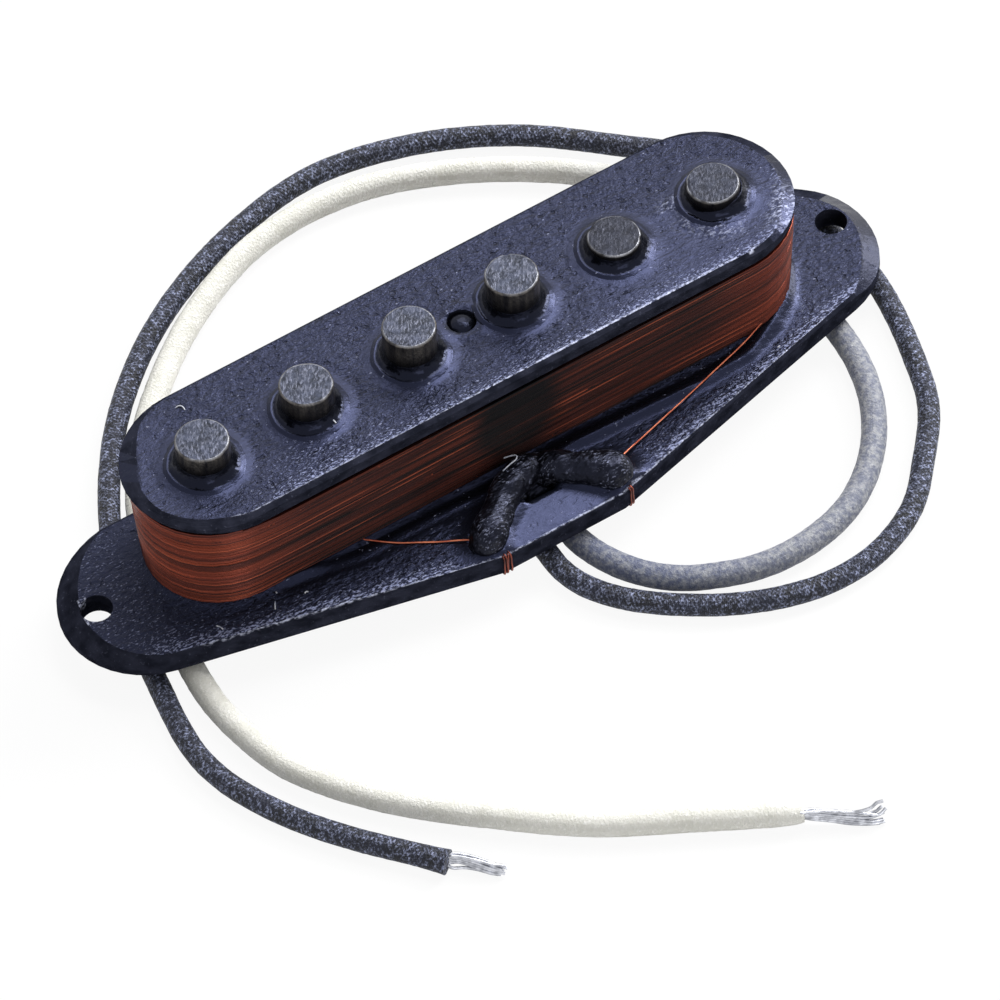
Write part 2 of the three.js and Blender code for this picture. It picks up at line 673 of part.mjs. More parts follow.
// Sizes of one lead: the side it is soldered on, and how high its axis rides over the plate.
function leadSizes(side, diameter) {
  const slotX = side * (slotLeadGap / 2 + diameter / 2);
  const slot = new THREE.Vector2(slotX, -slotReach);
  const centre = eyeletPlace(side);
  const toSlot = slot.clone().sub(centre).normalize();
  const ride = fitGap + diameter / 2;
  const height = lowerPlateTop + ride;
  const domeShare = (ride - eyeletFlangeThickness) / solderDomeHeight;
  const domeRadius = solderDomeDiameter / 2 * Math.sqrt(1 - domeShare ** 2);
  const coreStart = domeRadius + fitGap;
  const jacketStart = coreStart + leadCoreLength + fitGap;
  const pointAt = (distance) => {
    const place = centre.clone().addScaledVector(toSlot, distance);
    return new THREE.Vector3(place.x, place.y, height);
  };
  return { slot, toSlot, ride, coreStart, jacketStart, pointAt };
}

// The bare core between the solder and the jacket.
function leadTail(side, diameter) {
  const { coreStart, pointAt } = leadSizes(side, diameter);
  const points = [pointAt(coreStart), pointAt(coreStart + leadCoreLength)];
  return tubeAlong(points, leadCoreDiameter, leadSides, tailSteps);
}

// The jacket from the eyelet over the plate, down through the slot and forward under the plate.
function leadAnchor(side, diameter) {
  const { slot, toSlot, ride, jacketStart, pointAt } = leadSizes(side, diameter);
  const points = [pointAt(jacketStart)];
  for (let step = 0; step <= quarterSteps; step += 1) {
    const angle = Math.PI / 2 * (step / quarterSteps);
    const place = slot.clone().addScaledVector(toSlot, slotHalfWidth * (Math.sin(angle) - 1));
    points.push(new THREE.Vector3(place.x, place.y, lowerPlateTop + ride * Math.cos(angle)));
  }
  for (let step = 0; step <= quarterSteps; step += 1) {
    const angle = Math.PI / 2 * (step / quarterSteps);
    const y = slot.y - slotHalfWidth * (1 - Math.cos(angle));
    points.push(new THREE.Vector3(slot.x, y, magnetFootDrop - ride * Math.sin(angle)));
  }
  points.push(new THREE.Vector3(slot.x, -anchorReach, magnetFootDrop - ride));
  return tubeAlong(points, diameter, leadSides, stepsPerPoint * points.length);
}

// Tinned strands that splay from a short stub at the end of a lead.
function strandBundle(route, spread) {
  const points = toVectors(route);
  const forward = points[1].clone().sub(points[0]).normalize();
  const stubEnd = points[0].clone().addScaledVector(forward, strandStubLength);
  let bundle = toSolid(tubeAlong([points[0], stubEnd], strandsAcross * strandDiameter, leadSides, 1));
  const sideways = new THREE.Vector3(-forward.y, forward.x, 0).normalize();
  const upward = new THREE.Vector3(0, 0, 1);
  for (let strand = 0; strand < strandCount; strand += 1) {
    const angle = 2 * Math.PI * strand / (strandCount - 1);
    const inMiddle = strand === strandCount - 1;
    const strandPoints = points.map((point, index) => {
      const share = index / (points.length - 1);
      const offset = inMiddle ? 0 : strandDiameter + (spread - strandDiameter) * share ** 2;
      const place = point.clone().addScaledVector(sideways, offset * Math.cos(angle));
      return place.addScaledVector(upward, offset * Math.sin(angle));
    });
    bundle = bundle.add(toSolid(tubeAlong(strandPoints, strandDiameter, wireSides, strandSteps)));
  }
  return toGeometry(bundle);
}

function material(color, roughness, metalness) {
  return new THREE.MeshStandardMaterial({ color, roughness, metalness });
}

const fibre = () => material('#191a22', 0.38, 0);
const castMagnet = () => material('#6d675f', 0.5, 0.8);
const enamelledCopper = () => material('#7d3b22', 0.35, 0.6);
const brass = () => material('#b3914d', 0.35, 1);
const solder = () => material('#6f7278', 0.45, 0.9);
const lacqueredCloth = () => material('#15151b', 0.3, 0);
const blackCloth = () => material('#24262f', 0.8, 0);
const whiteCloth = () => material('#e6e2d6', 0.85, 0);
const tinnedCopper = () => material('#b4b7bd', 0.35, 0.9);

const pickup = new THREE.Group();
const row = new THREE.Group();
row.position.y = rowY;
pickup.add(row);

function place(group, name, geometry, finish) {
  const mesh = new THREE.Mesh(geometry, finish);
  mesh.name = name;
  group.add(mesh);
  return mesh;
}

place(row, 'bottom_flatwork', lowerPlate(), fibre());
place(row, 'top_flatwork', upperPlate(), fibre());
poleHeightShares.forEach((heightShare, index) => {
  const rod = place(row, `pole_magnet_${index + 1}`, magnet(heightShare), castMagnet());
  rod.position.x = magnetX(index);
});
place(row, 'coil_core', coilCore(), enamelledCopper());
place(row, 'coil_outer_layer', outerLayer(), enamelledCopper());
place(row, 'coil_start_wire', startWire(), enamelledCopper());
place(row, 'coil_finish_wire', finishWire(), enamelledCopper());

for (const [sideName, side] of [['left', -1], ['right', 1]]) {
  const { x, y } = eyeletPlace(side);
  place(row, `eyelet_${sideName}`, eyelet(), brass()).position.set(x, y, 0);
  place(row, `solder_joint_${sideName}`, solderJoint(), solder()).position.set(x, y, 0);
}

const leftCorner = new THREE.Vector2(-frontCorner.x, frontCorner.y);
place(row, 'wire_wrap_left',
  lashing('wire_wrap_left', leftCorner, 0, leftLashingStart, leftLashingPasses), enamelledCopper());
place(row, 'wire_wrap_right',
  lashing('wire_wrap_right', frontCorner, facetAngle, rightLashingStart, rightLashingPasses), enamelledCopper());

place(row, 'black_lead_tail', leadTail(-1, blackLeadDiameter), tinnedCopper());
place(row, 'white_lead_tail', leadTail(1, whiteLeadDiameter), tinnedCopper());
place(row, 'black_lead_anchor', leadAnchor(-1, blackLeadDiameter), lacqueredCloth());
place(row, 'white_lead_anchor', leadAnchor(1, whiteLeadDiameter), lacqueredCloth());

const blackTube = tubeAlong(toVectors(blackRoute), blackLeadDiameter, leadSides, blackLeadSteps);
const whiteTube = tubeAlong(toVectors(whiteRoute), whiteLeadDiameter, leadSides, whiteLeadSteps);
place(pickup, 'black_lead', blackTube, blackCloth());
place(pickup, 'white_lead', whiteTube, whiteCloth());
place(pickup, 'black_lead_strands', strandBundle(blackStrandRoute, blackStrandSpread), tinnedCopper());
place(pickup, 'white_lead_strands', strandBundle(whiteStrandRoute, whiteStrandSpread), tinnedCopper());

export default pickup;
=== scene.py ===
"""Looks for a single-coil guitar pickup, laid out as a Blender add-on and run as a script."""
import math

import bmesh
import bpy
from bpy.props import FloatProperty, FloatVectorProperty, IntProperty, PointerProperty
from mathutils import Matrix, Vector, noise


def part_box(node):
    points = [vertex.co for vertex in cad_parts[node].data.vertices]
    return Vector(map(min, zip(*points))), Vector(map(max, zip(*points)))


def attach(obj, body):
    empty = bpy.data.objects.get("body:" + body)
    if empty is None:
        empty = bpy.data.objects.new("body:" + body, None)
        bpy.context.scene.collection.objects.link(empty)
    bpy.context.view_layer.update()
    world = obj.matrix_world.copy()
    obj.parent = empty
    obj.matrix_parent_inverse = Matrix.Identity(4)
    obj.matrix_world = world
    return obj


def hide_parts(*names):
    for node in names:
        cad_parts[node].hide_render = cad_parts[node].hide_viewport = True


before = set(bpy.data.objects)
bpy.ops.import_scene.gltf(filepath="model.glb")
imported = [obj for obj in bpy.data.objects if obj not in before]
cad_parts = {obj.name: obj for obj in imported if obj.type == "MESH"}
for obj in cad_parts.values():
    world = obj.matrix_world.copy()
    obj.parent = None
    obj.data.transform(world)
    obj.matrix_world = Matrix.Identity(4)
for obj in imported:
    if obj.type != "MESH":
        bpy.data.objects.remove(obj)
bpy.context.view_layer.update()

bl_info = {
    "name": "Guitar Pickup Looks",
    "version": (1, 0, 0),
    "blender": (4, 5, 0),
    "location": "View3D > Sidebar > Pickup",
    "description": "Dresses the packed single-coil pickup: lacquered plates, coil, cloth leads",
    "category": "Object",
}

MM = 0.001
TAU = 2 * math.pi

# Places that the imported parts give, in metres
ROW_Y = sum(corner.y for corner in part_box("pole_magnet_1")) / 2
MAGNETS = [f"pole_magnet_{number}" for number in range(1, 7)]
MAGNET_X = [sum(corner.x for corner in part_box(name)) / 2 for name in MAGNETS]
COIL_FOOT, COIL_HEAD = (corner.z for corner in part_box("coil_core"))
LOWER_TOP = COIL_FOOT
UPPER_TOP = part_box("top_flatwork")[1].z

# Outlines and what lies on the plates, in millimetres from the middle of the magnet row
COIL_HALF_STRAIGHT, COIL_FOOT_RADIUS = 25.5, 6.9
UPPER_HALF_STRAIGHT, UPPER_END_RADIUS, UPPER_TO_BACK, UPPER_MIDDLE_Y = 25.4, 7.86, 7.4, 0.46
FRONT_HALF, FRONT_Y = 6.27, -15.4
FRONT_EDGE = [(-35.3, -8.26), (-FRONT_HALF, FRONT_Y), (FRONT_HALF, FRONT_Y), (35.3, -8.26)]
SCREW_HOLE_X = 38.15
MAGNET_RADIUS = 2.4
# Where the alignment hole is seen, and how far back its solid has it
ALIGNMENT_HOLE, DRILLED_Y = (0.36, 0.7), 0.74
# The ridge of lacquer in front of the coil, the spots where the lacquer is flaking and the
# lacquered lead ends
RIDGE_LINE = [(-23, -6.9), (-16, -8.1), (-9, -8.1), (-4, -8.4), (4.8, -8.2), (13.3, -8.6),
              (18.3, -8.85), (23.8, -8.5), (27.5, -7.0), (29.8, -5.3), (31.8, -2)]
FLAKED = [(22.6, 1.4), (22.8, -1.2), (23.9, -2.9), (25.2, -3.9), (-37.2, 2.4)]
ANCHOR_LINES = ([(-6.2, -13.2), (-4.7, -12.0), (-2.6, -10.9), (0.2, -9.6)],
                [(6.9, -13.6), (4.6, -12.0), (2.3, -10.2)])

# The leads' routes on the surface below, in millimetres, as their solids follow them
BLACK_ROUTE = [
    (-1.4, -9.86, 1.4), (-1.42, -10.9, 1.35), (-1.35, -12.7, 1.1), (-0.8, -14.9, 1),
    (0.35, -17.1, 1), (1.7, -18.85, 1), (3.1, -20.25, 1), (5.2, -22.0, 1), (8.7, -24.35, 1),
    (13, -26.3, 1), (17.6, -27.25, 1), (22.5, -26.8, 1), (27.5, -24.5, 1), (31.5, -20.5, 1),
    (35.1, -15.95, 1), (37.2, -10.55, 1), (39.2, -2.35, 1), (39.3, 3.85, 1), (38.2, 9.85, 1),
    (36.3, 15.85, 1), (33.5, 20.65, 1), (29.5, 24.75, 1), (22.5, 31.15, 1), (14.2, 35.65, 1),
    (4.7, 37.75, 1), (-5.4, 35.9, 1), (-15.1, 31.45, 1), (-23.3, 24.85, 1), (-29.4, 16.9, 1),
    (-34.2, 6.85, 1), (-36.6, -2.95, 1), (-37.9, -11.45, 1), (-37.4, -15.65, 1), (-36, -19.65, 1),
    (-33.9, -23.65, 1), (-31, -27.85, 1), (-28.5, -30.95, 1), (-26.3, -33.75, 1),
]
WHITE_ROUTE = [
    (1.55, -9.86, 1.25), (1.58, -10.9, 1.22), (2.1, -13.1, 1.15), (3.1, -15.45, 1.15),
    (4.5, -17.55, 1.15), (6.2, -19.25, 1.15), (8.2, -20.55, 1.15), (12.8, -22.35, 1.15),
    (17.8, -22.65, 1.15), (23.1, -21.25, 1.15), (27.8, -17.75, 1.15), (31.1, -13.05, 1.15),
    (32.9, -7.65, 1.15), (33.5, 0.85, 1.15), (33.2, 6.85, 1.15), (31.8, 12.85, 1.15),
    (28.8, 19.05, 1.15), (24.1, 24.55, 1.15), (16, 30.35, 1.15), (6.8, 33.95, 1.15),
    (-3.4, 33.85, 1.15), (-13.6, 29.25, 1.15), (-23.1, 21.15, 1.15), (-27.6, 14.9, 1.15),
    (-30.2, 9.35, 1.15), (-32, 3.85, 1.15), (-33.8, -7.05, 1.15), (-33.5, -12.25, 1.15),
    (-32.3, -17.25, 1.15), (-30.2, -21.15, 1.15), (-27.5, -24.85, 1.15), (-24.4, -28.25, 1.15),
    (-21, -31.45, 1.15), (-14, -37.45, 1.15), (-6.2, -42.15, 1.15), (1.4, -46.65, 1.15),
]

# The bare strands at the end of each lead, in millimetres
BLACK_STRANDS = [
    [(-26.04, -33.26, 1.3), (-25.34, -33.59, 1.35), (-24.48, -34.45, 1.3), (-23.59, -35.57, 1.15),
     (-22.81, -36.52, 0.9), (-22.36, -36.91, 0.7)],
    [(-26.04, -33.24, 1.0), (-25.36, -33.61, 1.1), (-24.44, -34.69, 1.1), (-23.57, -35.83, 1.0),
     (-22.82, -36.84, 0.7)],
    [(-26.12, -33.35, 0.9), (-25.38, -33.78, 0.95), (-24.44, -34.98, 1.0), (-23.59, -36.15, 0.8),
     (-22.73, -37.01, 0.6)],
    [(-26.16, -33.4, 0.7), (-25.36, -33.88, 0.75), (-24.49, -35.04, 0.75), (-23.48, -36.28, 0.5),
     (-22.71, -37.11, 0.4)],
    [(-26.14, -33.5, 0.5), (-25.4, -33.92, 0.55), (-24.47, -35.15, 0.5), (-23.71, -36.31, 0.35),
     (-23.01, -36.94, 0.3)],
    [(-26.39, -33.58, 0.5), (-26.02, -34.08, 0.35), (-25.25, -34.46, 0.25), (-24.48, -35.14, 0.2),
     (-23.81, -35.98, 0.2), (-23.18, -36.73, 0.2)],
    [(-26.15, -33.43, 1.3), (-25.46, -33.94, 1.4), (-24.39, -35.11, 1.4), (-23.5, -36.06, 1.2),
     (-22.46, -36.94, 1.1)],
]
WHITE_STRANDS = [
    [(1.04, -46.57, 1.6), (1.76, -46.87, 1.6), (3.21, -47.91, 1.5), (4.82, -49.3, 1.6),
     (5.87, -50.05, 2.2), (6.36, -50.4, 3.0), (6.78, -50.68, 3.2)],
    [(1.06, -46.53, 1.4), (1.82, -46.92, 1.4), (3.17, -47.96, 1.3), (4.87, -49.23, 1.2),
     (6.31, -49.97, 1.2), (6.98, -50.2, 1.8)],
    [(1.06, -46.52, 1.1), (1.79, -46.96, 1.1), (3.14, -47.99, 1.0), (4.6, -49.16, 0.9),
     (6.03, -50.06, 0.8), (7.09, -50.33, 1.0)],
    [(1.08, -46.48, 0.9), (1.77, -46.98, 0.85), (3.28, -48.07, 0.7), (4.78, -49.34, 0.6),
     (5.92, -50.22, 0.5), (6.81, -50.58, 0.5)],
    [(1.1, -46.44, 0.7), (1.76, -46.98, 0.65), (3.24, -48.12, 0.5), (4.8, -49.45, 0.35),
     (5.99, -50.41, 0.3), (6.91, -50.73, 0.3)],
    [(1.12, -46.41, 0.5), (1.78, -47.11, 0.5), (3.18, -48.21, 0.35), (4.33, -49.23, 0.25),
     (5.58, -50.11, 0.2), (6.48, -50.6, 0.2)],
    [(0.85, -46.87, 1.8), (1.64, -47.2, 1.7), (2.93, -48.02, 1.7), (4.22, -48.82, 1.6),
     (5.55, -49.73, 1.3), (6.55, -50.36, 1.1), (7.26, -50.38, 1.5)],
]


def hex_to_linear(text):
    """A hex colour as it is seen on a screen, turned to the linear values that shaders use."""
    values = [int(text[place:place + 2], 16) / 255 for place in (1, 3, 5)]
    return [v / 12.92 if v <= 0.04045 else ((v + 0.055) / 1.055) ** 2.4 for v in values] + [1.0]


def add_node(tree, kind, settings=None, **inputs):
    """Adds a node with its settings, and gives each named input a value or a socket to link.
    A name has _ where the socket's has a space, and a name such as i0 picks an input by place."""
    node = tree.nodes.new(kind)
    for name, value in (settings or {}).items():
        setattr(node, name, value)
    for name, value in inputs.items():
        by_place = name[0] == "i" and name[1:].isdigit()
        socket = node.inputs[int(name[1:]) if by_place else name.replace("_", " ")]
        if isinstance(value, bpy.types.NodeSocket):
            tree.links.new(value, socket)
        else:
            socket.default_value = value
    return node


def finish_piece(piece, replaced=()):
    """Hangs a finished piece on the pickup's one body and hides the parts that it stands for."""
    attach(piece, "root")
    if replaced:
        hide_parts(*replaced)


def new_object(name, mesh, *materials):
    """Puts a mesh in the scene under a name, with its materials in order."""
    mesh.name = name
    for material in materials:
        mesh.materials.append(material)
    piece = bpy.data.objects.new(name, mesh)
    bpy.context.scene.collection.objects.link(piece)
    return piece


def with_modifiers_applied(piece):
    """Gives an object the plain mesh that its modifiers make, and takes them off."""
    graph = bpy.context.evaluated_depsgraph_get()
    graph.update()
    mesh = bpy.data.meshes.new_from_object(piece.evaluated_get(graph))
    piece.modifiers.clear()
    mesh.name = piece.name
    piece.data = mesh
    return piece


def from_row(x, y, z):
    """A place in millimetres from the middle of the magnet row, on the lower plate's top."""
    return Vector((x * MM, ROW_Y + y * MM, LOWER_TOP + z * MM))


def smooth_step(low, high, value):
    share = min(max((value - low) / (high - low), 0.0), 1.0)
    return share * share * (3 - 2 * share)


def wander(x, y, z, size):
    """Smooth noise from about -1 to 1 whose lumps have one size, in the units of the place."""
    return noise.noise(Vector((x, y, z)) / size)


# Curves and tubes

def smooth_line(points, spacing):
    """An even line along the centripetal curve through points, as the solids' tubes follow it."""
    knots = [Vector(point) for point in points]
    knots = [2 * knots[0] - knots[1], *knots, 2 * knots[-1] - knots[-2]]
    fine = []
    for place in range(1, len(knots) - 2):
        a, b, c, d = knots[place - 1:place + 3]
        t1, t2, t3 = ((q - p).length ** 0.5 for p, q in ((a, b), (b, c), (c, d)))
        slope_b = ((b - a) / t1 - (c - a) / (t1 + t2) + (c - b) / t2) * t2
        slope_c = ((c - b) / t2 - (d - b) / (t2 + t3) + (d - c) / t3) * t2
        steps = max(4, int((c - b).length / spacing * 2))
        for step in range(steps):
            t = step / steps
            fine.append((2 * t**3 - 3 * t**2 + 1) * b + (t**3 - 2 * t**2 + t) * slope_b
                        + (3 * t**2 - 2 * t**3) * c + (t**3 - t**2) * slope_c)
    fine.append(knots[-2])
    travelled = [0.0]
    for before, after in zip(fine, fine[1:]):
        travelled.append(travelled[-1] + (after - before).length)
    count = max(2, round(travelled[-1] / spacing))
    line, place = [], 0
    for step in range(count + 1):
        wanted = travelled[-1] * step / count
        while place < len(fine) - 2 and travelled[place + 1] < wanted:
            place += 1
        stride = travelled[place + 1] - travelled[place]
        line.append(fine[place].lerp(fine[place + 1], (wanted - travelled[place]) / stride))
    return line, travelled[-1]


def join_rings(made, pairs):
    """Faces between the two rings of points of each pair, of which one may be a single point."""
    faces = []
    for below, above in pairs:
        sides = max(len(below), len(above))
        for side in range(sides):
            after = (side + 1) % sides
            corners = (below[side % len(below)], below[after % len(below)],
                       above[after % len(above)], above[side % len(above)])
            faces.append(made.faces.new(list(dict.fromkeys(corners))))
    return faces


def sweep(line, sides, radius_at):
    """A closed tube along an even line, with a UV map of turns round it and millimetres along it.
    radius_at takes the distance along and the angle round."""
    made = bmesh.new()
    layer = made.loops.layers.uv.new("lead")
    across = Vector((0, 0, 1))
    spacing = (line[1] - line[0]).length
    rings = []
    for place, point in enumerate(line):
        forward = (line[min(place + 1, len(line) - 1)] - line[max(place - 1, 0)]).normalized()
        across = (across - forward * across.dot(forward)).normalized()
        sideways = forward.cross(across)
        ring = []
        for side in range(sides):
            angle = TAU * side / sides
            outward = across * math.cos(angle) + sideways * math.sin(angle)
            ring.append(made.verts.new(point + outward * radius_at(place * spacing, angle)))
        rings.append(ring)
    for number, face in enumerate(join_rings(made, zip(rings, rings[1:]))):
        face.smooth = True
        place, side = divmod(number, sides)
        for loop, (turned, gone) in zip(face.loops, ((0, 0), (1, 0), (1, 1), (0, 1))):
            loop[layer].uv = ((side + turned) / sides, (place + gone) * spacing / MM)
    for ring, gone in ((rings[0][::-1], 0), (rings[-1], len(line) - 2)):
        for loop in made.faces.new(ring).loops:
            loop[layer].uv = (0, gone * spacing / MM)
    bmesh.ops.triangulate(made, faces=[f for f in made.faces if len(f.verts) > 4])
    return made


def to_mesh(made, name):
    mesh = bpy.data.meshes.new(name)
    made.to_mesh(mesh)
    made.free()
    return mesh


def wire_tree():
    """Geometry Nodes that sweep a round wire along each line of a mesh."""
    tree = bpy.data.node_groups.new("wire_along_lines", "GeometryNodeTree")
    face = tree.interface
    face.new_socket("Lines", in_out="INPUT", socket_type="NodeSocketGeometry")
    diameter = face.new_socket("Wire diameter", in_out="INPUT", socket_type="NodeSocketFloat")
    diameter.default_value = 0.0002
    sides = face.new_socket("Sides", in_out="INPUT", socket_type="NodeSocketInt")
    sides.default_value = 6
    face.new_socket("Finish", in_out="INPUT", socket_type="NodeSocketMaterial")
    face.new_socket("Wire", in_out="OUTPUT", socket_type="NodeSocketGeometry")
    given = add_node(tree, "NodeGroupInput").outputs
    radius = add_node(tree, "ShaderNodeMath", {"operation": "DIVIDE"},
                      i0=given["Wire diameter"], i1=2.0)
    section = add_node(tree, "GeometryNodeCurvePrimitiveCircle",
                       Resolution=given["Sides"], Radius=radius.outputs[0])
    curve = add_node(tree, "GeometryNodeMeshToCurve", Mesh=given["Lines"])
    swept = add_node(tree, "GeometryNodeCurveToMesh", Curve=curve.outputs[0],
                     Profile_Curve=section.outputs[0], Fill_Caps=True)
    smooth = add_node(tree, "GeometryNodeSetShadeSmooth", Geometry=swept.outputs[0])
    finish = add_node(tree, "GeometryNodeSetMaterial", Geometry=smooth.outputs[0],
                      Material=given["Finish"])
    real = add_node(tree, "GeometryNodeRealizeInstances", Geometry=finish.outputs[0])
    add_node(tree, "NodeGroupOutput", Wire=real.outputs[0])
    return tree


def wires(name, lines, diameter, sides, material, facts=None):
    """A piece of round wires along lines of points. facts maps the name of a value that each
    point carries to one list for each line."""
    mesh = bpy.data.meshes.new(name + "_lines")
    points = [point for line in lines for point in line]
    edges, first = [], 0
    for line in lines:
        edges += [(first + place, first + place + 1) for place in range(len(line) - 1)]
        first += len(line)
    mesh.from_pydata(points, edges, [])
    for fact, lists in (facts or {}).items():
        values = [value for one_list in lists for value in one_list]
        mesh.attributes.new(fact, "FLOAT", "POINT").data.foreach_set("value", values)
    piece = new_object(name, mesh)
    tree = bpy.data.node_groups.get("wire_along_lines") or wire_tree()
    modifier = piece.modifiers.new("Wire", "NODES")
    modifier.node_group = tree
    wanted = {"Wire diameter": diameter, "Sides": sides, "Finish": material}
    for item in tree.interface.items_tree:
        if item.in_out == "INPUT" and item.name in wanted:
            modifier[item.identifier] = wanted[item.name]
    return with_modifiers_applied(piece)


# Materials

def empty_tree(owner):
    """The node tree of a material or a world, without the nodes that it starts with."""
    owner.use_nodes = True
    owner.node_tree.nodes.clear()
    return owner.node_tree


def new_material(name):
    """An empty material, its tree and the object's coordinates in millimetres."""
    material = bpy.data.materials.new(name)
    tree = empty_tree(material)
    place = add_node(tree, "ShaderNodeTexCoord").outputs["Object"]
    in_mm = add_node(tree, "ShaderNodeVectorMath", {"operation": "SCALE"}, i0=place, Scale=1 / MM)
    return material, tree, in_mm.outputs[0]


def speckle(tree, place, size, detail=2.0, rough=0.5, low=0.35, high=0.65):
    """Noise that runs from 0 to 1 between two of its levels. Its size in millimetres is one
    number, or one for each axis."""
    sizes = size if isinstance(size, tuple) else (size, size, size)
    scaled = add_node(tree, "ShaderNodeVectorMath", {"operation": "MULTIPLY"}, i0=place,
                      i1=[1 / one for one in sizes])
    cloud = add_node(tree, "ShaderNodeTexNoise", Vector=scaled.outputs[0], Scale=1.0,
                     Detail=detail, Roughness=rough)
    return add_node(tree, "ShaderNodeMapRange", {"clamp": True}, Value=cloud.outputs[0],
                    From_Min=low, From_Max=high).outputs[0]


def painted(tree, colour, *coats):
    """A colour under its coats. A coat is a colour and the shares that it covers by, multiplied.
    A colour is a hex text, linear values or a socket."""
    for coat, share, *others in coats:
        for other in others:
            share = add_node(tree, "ShaderNodeMath", {"operation": "MULTIPLY"}, i0=share,
                             i1=other).outputs[0]
        below, above = (hex_to_linear(c) if isinstance(c, str) else c for c in (colour, coat))
        colour = add_node(tree, "ShaderNodeMix", {"data_type": "RGBA"}, i0=share, i6=below,
                          i7=above).outputs[2]
    return colour


def relief(tree, *layers, strength=1.0):
    """Bumps over bumps. A layer is a height and its depth in millimetres, negative for pits."""
    under = {}
    for height, depth in layers:
        bump = add_node(tree, "ShaderNodeBump", {"invert": depth < 0}, Height=height,
                        Distance=abs(depth) * MM, Strength=strength, **under)
        under = {"Normal": bump.outputs[0]}
    return bump.outputs[0]


def worn_and_lit_edge(tree, place):
    """The coat of pale fibre in a thin broken line at an edge: bare fibre where an edge has lost
    its lacquer, and a painted highlight along the plates' front edges.
    """
    worn = add_node(tree, "ShaderNodeAttribute", {"attribute_name": "edge"}).outputs["Fac"]
    edge = add_node(tree, "ShaderNodeMapRange", {"interpolation_type": "SMOOTHSTEP"},
                    Value=worn, From_Min=0.3, From_Max=0.75).outputs[0]
    broken = speckle(tree, place, (0.5, 0.4, 0.3), 3.0, 0.75, 0.42, 0.62)
    return bpy.context.scene.pickup_colours.worn_and_lit_fibre, edge, broken


def lacquered_fibre(name):
    """Vulcanised fibre brushed with black lacquer: a satin, faintly blue skin over a fine pebble,
    smooth where it has pooled, with pale specks of dust and flaking, painted glints on the
    pebble, a painted glare on the upper plate's right bevel, and edges worn pale with a painted
    highlight."""
    material, tree, place = new_material(name)
    flaked_and_glare, glinting, dull, pooled = (
        add_node(tree, "ShaderNodeAttribute", {"attribute_name": fact}).outputs["Fac"]
        for fact in ("flaked_and_glare", "glinting", "dull", "pooled"))
    cloudy = speckle(tree, place, 6, 3.0)
    pebble = speckle(tree, place, (0.9, 0.5, 0.6), 3.0, 0.55, 0.35, 0.75)
    grit = speckle(tree, place, (0.3, 0.15, 0.2), 2.0, 0.6, 0.5, 0.75)
    pits = speckle(tree, place, 0.6, 1.0, 0.5, 0.66, 0.76)
    # Pale specks of flaking lacquer, which also paint the glare on the upper plate's right bevel
    flake_and_glare_specks = speckle(tree, place, (0.6, 0.3, 0.5), 3.0, 0.7, 0.5, 0.62)
    dust = speckle(tree, place, (0.45, 0.3, 0.4), 1.0, 0.5, 0.73, 0.78)
    # sparks are painted glints: pale specks that stand in for light caught on the pebble's tops
    sparks = speckle(tree, place, (0.36, 0.15, 0.3), 3.0, 0.65, 0.0, 1.0)
    level, broad, rough, bumpy = (
        add_node(tree, "ShaderNodeMapRange", Value=fact, To_Min=least, To_Max=most).outputs[0]
        for fact, least, most in ((glinting, 0.66, 0.5), (glinting, 0.1, 0.8), (pooled, 0.36, 0.27),
                                  (pooled, 1.0, 0.12)))
    for operation, other in (("SUBTRACT", level), ("MULTIPLY", 12.0)):
        sparks = add_node(tree, "ShaderNodeMath", {"operation": operation, "use_clamp": True},
                          i0=sparks, i1=other).outputs[0]
    rough = add_node(tree, "ShaderNodeMath", {"operation": "MULTIPLY_ADD"}, i0=dull, i1=0.3,
                     i2=rough).outputs[0]
    hues = bpy.context.scene.pickup_colours
    colour = painted(tree, hues.lacquer_dark, (hues.lacquer_light, cloudy),
                     (hues.lacquer_glinting, sparks, broad), ("#a6abc6", dust, 0.5),
                     ("#a6abc2", flake_and_glare_specks, flaked_and_glare), worn_and_lit_edge(tree, place))
    normal = relief(tree, (pebble, 0.11), (grit, 0.03), (pits, -0.12), strength=bumpy)
    shader = add_node(tree, "ShaderNodeBsdfPrincipled", Base_Color=colour, Roughness=rough,
                      IOR=1.5, Normal=normal, Specular_IOR_Level=0.4,
                      Specular_Tint=hex_to_linear("#b0bcff"))
    add_node(tree, "ShaderNodeOutputMaterial", Surface=shader.outputs[0])
    return material


def sanded_fibre(name):
    """The fibre's sawn edge under a thin coat: dull charcoal with fine scratches along it and a
    pale line at its corner, worn fibre and a painted highlight."""
    material, tree, place = new_material(name)
    scratches = speckle(tree, place, (3.0, 3.0, 0.12), 3.0)
    mottle = speckle(tree, place, (1.6, 1.6, 1.0), 3.0)
    fluff = speckle(tree, place, (0.25, 0.25, 0.4), 3.0, 0.65, 0.62, 0.74)
    colour = painted(tree, "#191b24", ("#2b2d39", mottle), ("#6a6d80", fluff, 0.3),
                     worn_and_lit_edge(tree, place))
    shader = add_node(tree, "ShaderNodeBsdfPrincipled", Base_Color=colour, Roughness=0.62,
                      IOR=1.5, Normal=relief(tree, (scratches, 0.02)), Specular_IOR_Level=0.0)
    add_node(tree, "ShaderNodeOutputMaterial", Surface=shader.outputs[0])
    return material


def clear_black_lacquer(name):
    """Shellac and wax where it has pooled: black, smooth and glossier than the plates."""
    material, tree, place = new_material(name)
    waves = speckle(tree, place, 0.7)
    shader = add_node(tree, "ShaderNodeBsdfPrincipled", Base_Color=hex_to_linear("#08090e"),
                      Roughness=0.2, IOR=1.5, Normal=relief(tree, (waves, 0.03)),
                      Specular_IOR_Level=0.24, Specular_Tint=hex_to_linear("#bcc7ff"))
    add_node(tree, "ShaderNodeOutputMaterial", Surface=shader.outputs[0])
    return material


